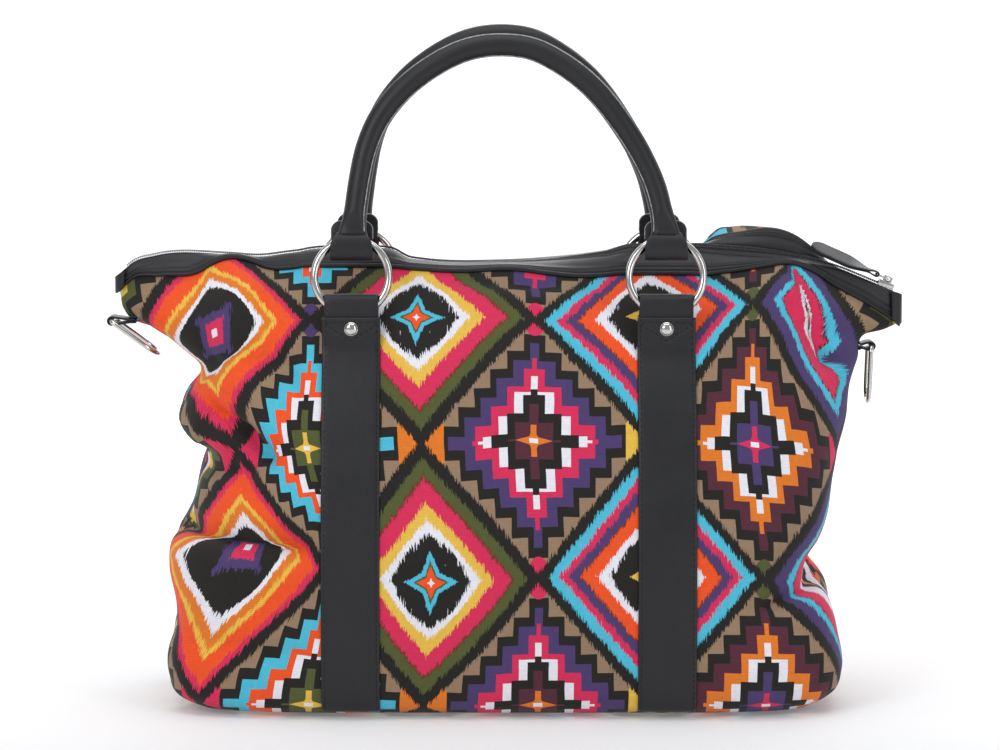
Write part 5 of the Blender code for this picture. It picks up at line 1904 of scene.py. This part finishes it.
def loop_mesh(side, x0, column):
    """The loop: up from under the strap, over the ring's wire and back down to the canvas."""
    y, z = abs(HINGE_Y[side]), HINGE_Z - 0.0006
    canvas_at = [(row[column].z, abs(row[column].y)) for row in panel_rows[side][:ROW_COUNT]]
    inner = float(np.interp(LOOP_FOOT, *np.array(canvas_at).T)) + GAP + LOOP_THICK / 2
    radius = LOOP_SLOT + LOOP_THICK / 2
    lift = LOOP_RISE - LOOP_THICK / 2 - radius
    line = [(y + radius - 0.0001, LOOP_FOOT), (y + radius, z - 0.004), (y + radius, z)]
    line += [(y + radius * math.cos(a), z + lift + radius * math.sin(a))
             for a in np.linspace(0, math.pi, 19)]
    line += [(y - radius, z), (y - radius, z - 0.005), (inner, LOOP_FOOT)]
    line = [Vector((side * across, up)) for across, up in line]
    return ribbon("loop", resampled(eased(resampled(line, 0.0012), 3), 0.0012), x0, LOOP_WIDTH,
                  LOOP_THICK, flat_steps=6)


print("loops", LOOP_WIDTH, "m wide, foot at", round(LOOP_FOOT, 4))

# %% [markdown]
# ### Rivets
#
# A rivet is a disc with a fine flat rim and a low dome. Its profile is turned round an axis, which
# is what a screw modifier does too, and then set on the strap along its normal.

# %% Rivet
RIVET_HEIGHT = 0.2738
RIVET_RIM = [(0.0050, -0.0006), (0.0050, 0.0003), (0.0047, 0.0006), (0.0044, 0.0007)]
DOME_RADIUS = 0.0043
DOME_HEIGHT = 0.0020


def rivet_mesh(place, normal):
    """A domed head with a fine flat rim, turned round its normal."""
    dome = [(DOME_RADIUS * math.cos(a), RIVET_RIM[-1][1] + DOME_HEIGHT * math.sin(a))
            for a in np.linspace(0.06, math.pi / 2 - 0.08, 9)]
    turn = normal.to_track_quat("Z", "Y").to_matrix().to_4x4()
    sides = 40
    rings = [[Vector((r * math.cos(2 * math.pi * k / sides), r * math.sin(2 * math.pi * k / sides),
                      h)) for k in range(sides)] for r, h in RIVET_RIM + dome]
    mesh = skin("rivet", rings)
    mesh.transform(Matrix.Translation(place) @ turn)
    return mesh


print("rivet", 2 * RIVET_RIM[0][0], "m across")

# %% [markdown]
# ### Both straps
#
# The same steps make the left and the right one, so one loop does them, and the stitches of both
# become a single piece.

# %% Build straps, loops and rivets
stitch_lines = []
for end, x0, column in (("left", -STRAP_X, END_COLUMNS + 1),
                        ("right", STRAP_X, END_COLUMNS + MIDDLE_COLUMNS + 3)):
    mesh, lines, line = strap_pieces(x0, column)
    strap = make_object("leather_strap_" + end, mesh, "bag", leather)
    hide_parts("strap_" + end)
    stitch_lines += lines
    for side, label in ((-1, "front"), (1, "back")):
        make_object("ring_loop_" + label + "_" + end, loop_mesh(side, x0, column), "bag", leather)
        near = min((p for p in line if p.x * side > 0), key=lambda p: abs(p.y - RIVET_HEIGHT))
        seat = Vector((x0, near.x + side * (STRAP_THICK / 2 + V_RELIEF + 0.0002), near.y))
        rivet = make_object("domed_rivet_" + label + "_" + end,
                            rivet_mesh(seat, Vector((0, side, 0.03))), "bag", nickel)
        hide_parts("rivet_" + label + "_" + end)
strap_sewing = row_mesh("strap_stitches", stitch_lines, STRAP_STITCH_PITCH, STRAP_STITCH, thread)
make_object("strap_stitches", strap_sewing, "bag", thread)
print("straps of", len(line), "stations")

# %% [markdown]
# ## Handles
#
# Each handle is leather rolled round a core, closed by a seam along its inner side. The cut edge of
# the leather along that side shows as a pale line, and a pale line over the top of the arch is a
# painted highlight. Its ends are flattened and folded round the rings.
# A bevelled curve would give a round roll, but not one that flattens, so the sections are built.

# %% Line of a handle
HANDLE_RISES = {-1: 0.1418, 1: 0.1486}
HANDLE_LINE = [(-1.0, 0.0), (-0.986, 0.10), (-0.970, 0.19), (-0.944, 0.33), (-0.903, 0.48),
               (-0.830, 0.62), (-0.702, 0.755), (-0.482, 0.895), (-0.25, 0.98), (-0.03, 1.0),
               (0.15, 0.98), (0.32, 0.915), (0.54, 0.78), (0.712, 0.61), (0.848, 0.43),
               (0.927, 0.285), (0.968, 0.16), (0.990, 0.08), (1.0, 0.0)]
BODY_FROM = 0.0050
UPRIGHT_END = 0.008


def handle_stations(height):
    """(place, way, distance to the nearer ring, share of the length) along the handle."""
    share = np.array(HANDLE_LINE)
    run = np.concatenate([[0], np.cumsum(np.hypot(*np.diff(share, axis=0).T))])
    across = smooth_line(list(zip(run, share[:, 0] * STRAP_X)))
    rise = smooth_line(list(zip(run, share[:, 1] * height)))
    fine = [Vector((across(t), rise(t))) for t in np.linspace(0, run[-1], 500)]
    line = resampled(fine, 0.0015)
    length = sum((b - a).length for a, b in zip(line, line[1:]))
    stations, gone = [], 0.0
    for k, (p, way) in enumerate(zip(line, directions(line))):
        gone += (p - line[k - 1]).length if k else 0.0
        near = min(gone, length - gone)
        if near < UPRIGHT_END:
            way = Vector((0, 1 if gone < length / 2 else -1))
        if near >= BODY_FROM:
            stations.append((p, way, near, gone / length))
    return stations


print("handle stations", len(handle_stations(HANDLE_RISES[-1])))

# %% [markdown]
# ### The section of a handle
#
# Next to the ring the section is a flat rounded bar, and further on it grows into a round roll. The
# distance from the ring sets its width, its thickness and how square it is.

# %% Section of a handle
HANDLE_DIAMETER = 0.0166
TAB_WIDTHS = smooth_line([(-0.02, 0.0150), (-0.004, 0.0150), (0.001, 0.0142), (0.0035, 0.0126),
                          (0.007, 0.0106), (0.013, 0.0092), (0.022, 0.0084), (0.036, 0.0083)])


def handle_section(near):
    """Half width, half thickness and squareness of the section by distance from the ring."""
    roll = smooth_step(0.006, 0.026, near)
    half_thick = 0.0064 + (0.0056 - 0.0064) * smooth_step(0.0050, 0.0095, near)
    half_thick += (HANDLE_DIAMETER / 2 - 0.0056) * smooth_step(0.0095, 0.024, near)
    return TAB_WIDTHS(near), half_thick, 3.6 - 1.6 * roll


def handle_point(station, angle, extra=0.0):
    """A point round the section: angle 0 is outwards in the handle's plane, 90 is its front."""
    place, way, near, _ = station
    half_w, half_t, power = handle_section(near)
    cx, cy = math.cos(angle), math.sin(angle)
    u = -math.copysign(abs(cx) ** (2 / power), cx) * (half_w + extra)
    w = math.copysign(abs(cy) ** (2 / power), cy) * (half_t + extra)
    wide = Vector((way.y, -way.x))
    return Vector((place.x + wide.x * u, w, place.y + wide.y * u))


def handle_body(stations):
    rings = [[handle_point(station, 2 * math.pi * (k + 0.5) / 36) for k in range(36)]
             for station in stations]
    return skin("roll", rings)


print("roll", HANDLE_DIAMETER, "m thick")

# %% [markdown]
# ### Raw edges and a painted highlight
#
# Where the leather is cut, its pale backing shows. One such edge runs along the inner side of the
# roll. A pale line over the top of the arch is a painted highlight. Each is a thin tube half sunk in
# the leather.

# %% Seam beads
def edge_and_highlight_beads(stations, side):
    """The pale beads: a cut edge along the inner side, and a painted highlight over the top of the
    arch.
    """
    inner, outer = [], []
    for station in stations:
        share, near = station[3], station[2]
        off = abs(share - 0.5) * 2
        front = math.radians(17 + 25 * smooth_step(0.25, 0.85, off))
        if near > 0.009:
            inner.append(handle_point(station, math.pi + front * -side, 0.00005))
        # Over the top of the arch: a pale bead that paints a highlight, not a cut edge.
        if 0.28 < share < 0.80:
            sink = -0.0005 * (1 - smooth_step(0.0, 0.06, min(share - 0.28, 0.80 - share)))
            outer.append(handle_point(station, math.radians(32) * side, sink))
    return inner, outer


print("seam bead helper ready")

# %% [markdown]
# ### The ends of a handle
#
# The flat end of the leather goes round the ring and is folded up behind the roll, where its cut
# edge shows as a pale rim. The loop and the flap are two ribbons that meet inside the leather.

# %% Eyes and flaps
TAB_BORE = (TAB_ARC_HALF + 0.0004) / math.cos(math.pi / 24)
EYE_THICK = 0.0018


def egg_line():
    """The tab's loop round the ring, seen from the side: round above, longer below."""
    across, up, down = TAB_BORE + 0.0010, 0.0076, 0.0112
    return [Vector((across * math.cos(a), (up if math.sin(a) > 0 else down) * math.sin(a)))
            for a in np.linspace(0, 2 * math.pi, 49)[:-1]]


def eye_mesh(x):
    """The flat end of the leather, folded round the ring and narrowing into the roll."""
    line = egg_line()
    return ribbon("eye", line, x, 0, EYE_THICK, closed=True,
                  widths=[2 * TAB_WIDTHS(p.y) for p in line])


FLAP_LINE = [(0.0069, 0.0005), (0.0070, 0.0050), (0.0072, 0.0100), (0.0077, 0.0140),
             (0.0081, 0.0168)]
FLAP_WIDTH = smooth_line([(0.0, 0.0146), (0.008, 0.0147), (0.0125, 0.0143), (0.0150, 0.0126),
                          (0.0168, 0.0098)])
FLAP_THICK = 0.0016
RIM_BEAD = 0.00045


def flap_pieces(x, inside):
    """The end of the leather, folded up behind the roll, and the pale edge round it."""
    line = resampled([Vector((inside * y, z)) for y, z in FLAP_LINE], 0.0008)
    flap = ribbon("flap", line, x, 0, FLAP_THICK, widths=[2 * FLAP_WIDTH(p.y) for p in line])
    rim = [Vector((x + end * FLAP_WIDTH(p.y), p.x, p.y)) for end in (-1, 1)
           for p in (line[4:] if end < 0 else line[:3:-1])]
    return flap, tube("bead", rim, RIM_BEAD, sides=8)


print("eye bore", round(TAB_BORE, 5))

# %% [markdown]
# ### Both handles
#
# Each handle is made standing on the ground and then moved to its hinge with its lean, so its
# own measures stay simple.

# %% Build both handles
# The seam across each tab: its distance from the middle plane, its height and half its length
TAB_SEAM = (0.0064, 0.0069, 0.0125)
TAB_STITCH_PITCH = 0.0035
TAB_STITCH = (0.0026, 0.0007, 0.0006)
INNER_BEAD = 0.00042
# The bead over the top of the arch is a painted highlight.
HIGHLIGHT_BEAD = 0.00034
TOPS = {side: Vector((0, HINGE_Y[side] - side * math.sin(RING_LEAN) * (RING_TO_STRAP + RING_TO_TAB),
                      HINGE_Z + math.cos(RING_LEAN) * (RING_TO_STRAP + RING_TO_TAB)))
        for side in (-1, 1)}

for side, label in ((-1, "front"), (1, "back")):
    body = "handle_" + label
    turn = Matrix.Translation(TOPS[side]) @ Matrix.Rotation(side * RING_LEAN, 4, "X")
    stations = handle_stations(HANDLE_RISES[side])
    parts = [handle_body(stations)]
    rims = []
    for x in (-STRAP_X, STRAP_X):
        parts.append(eye_mesh(x))
        flap, rim = flap_pieces(x, -side)
        parts.append(flap)
        rims.append(rim)
    roll = joined_mesh("handle", parts)
    roll.transform(turn)
    handle = make_object("rolled_" + body, roll, body, leather)
    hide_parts(body)
    inner, outer = edge_and_highlight_beads(stations, side)
    beads = joined_mesh("beads", [tube("bead", inner, INNER_BEAD, sides=8),
                                  tube("bead", outer, HIGHLIGHT_BEAD, sides=8)] + rims)
    beads.transform(turn)
    # Pale beads: cut edges of the leather, and a painted highlight over the arch.
    make_object("raw_edge_and_highlight_" + label, beads, body, raw_edge_and_highlight)
    lines = []
    for x in (-STRAP_X, STRAP_X):
        for face in (-1, 1):
            lines.append([turn @ Vector((x + float(a), face * TAB_SEAM[0], TAB_SEAM[1]))
                          for a in np.linspace(-TAB_SEAM[2], TAB_SEAM[2], 9)])
    sewing = row_mesh("tab_stitches", lines, TAB_STITCH_PITCH, TAB_STITCH, thread)
    make_object("tab_stitches_" + label, sewing, body, thread)
print("handles of", len(stations), "stations, hinges at", [round(v, 4) for v in TOPS[-1]])

# %% [markdown]
# ## End rings
#
# A ring hangs at each end in a leather loop that comes out of the end seam. It is D-shaped, with a
# straight bar in the loop, so its line is two small corners and a half circle, swept with a tube.

# %% End rings
D_WIRE = 0.0018
D_WIDTH = 0.026
D_LENGTH = 0.041
D_CORNER = 0.004
# For each end: the hinge, how far the ring has swung and the length of the loop's stalk
D_HINGES = {"left": (Vector((-0.28824, 0, 0.2748)), math.radians(54), 0.0138),
            "right": (Vector((0.26313, 0, 0.2565)), math.radians(-2), 0.0053)}


def end_ring_mesh(hinge, swing):
    radius, corner = D_WIDTH / 2, D_CORNER
    straight = D_LENGTH - radius
    route = [(radius - corner + corner * math.cos(a), -corner + corner * math.sin(a))
             for a in np.linspace(math.pi / 2, 0, 9)]
    route += [(radius * math.cos(a), -straight + radius * math.sin(a))
              for a in np.linspace(0, -math.pi, 33)]
    route += [(-radius + corner + corner * math.cos(a), -corner + corner * math.sin(a))
              for a in np.linspace(math.pi, math.pi / 2, 9)]
    line = resampled([Vector((0, y, z)) for y, z in route], 0.0012, closed=True)
    mesh = tube("end ring", line, D_WIRE, closed=True, sides=16)
    mesh.transform(Matrix.Translation(hinge) @ Matrix.Rotation(-swing, 4, "Y"))
    return mesh


print("end ring", D_WIDTH, "by", D_LENGTH, "m")

# %% [markdown]
# ### The loops of the end rings
#
# Each is a strip that comes out of the seam, goes round the bar of the ring and back into the seam.
# The left one has a long stalk, as the canvas has slumped away from it.

# %% End loops
D_LOOP_WIDTH = 0.020
D_LOOP_THICK = 0.0016


def end_loop_mesh(hinge, stalk):
    """A strip from the seam, round the ring's bar and back to the seam."""
    away = math.copysign(1, hinge.x)
    thick = D_LOOP_THICK
    wrap = D_WIRE + 0.0004 + thick / 2
    root = -stalk - 0.0035
    line = [(root, thick * 0.55), (root * 0.75, thick * 0.6), (-wrap * 1.1, wrap * 0.8)]
    line = [(root, wrap * 0.8 if stalk < 0.008 else thick * 0.56)] + line[1:]
    bow = [(wrap * math.sin(a), wrap * math.cos(a)) for a in np.linspace(-0.4, math.pi + 0.4, 19)]
    path = line + bow + [(x, -h) for x, h in line[::-1]]
    path = [Vector((away * x, h)) for x, h in path]
    fine = resampled(eased(resampled(path, 0.0009), 3), 0.0009)
    mesh = ribbon("end loop", fine, 0, D_LOOP_WIDTH, thick, flat_steps=6)
    mesh.transform(Matrix.Translation(hinge) @ SWAP)
    return mesh


for end, (hinge, swing, stalk) in D_HINGES.items():
    name = "d_ring_" + end
    ring = make_object("nickel_" + name, end_ring_mesh(hinge, swing), name, nickel)
    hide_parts(name)
    loop = make_object("end_loop_" + end, end_loop_mesh(hinge, stalk), "bag", leather)
    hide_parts("d_ring_tab_" + end)
print("end rings ready")

# %% [markdown]
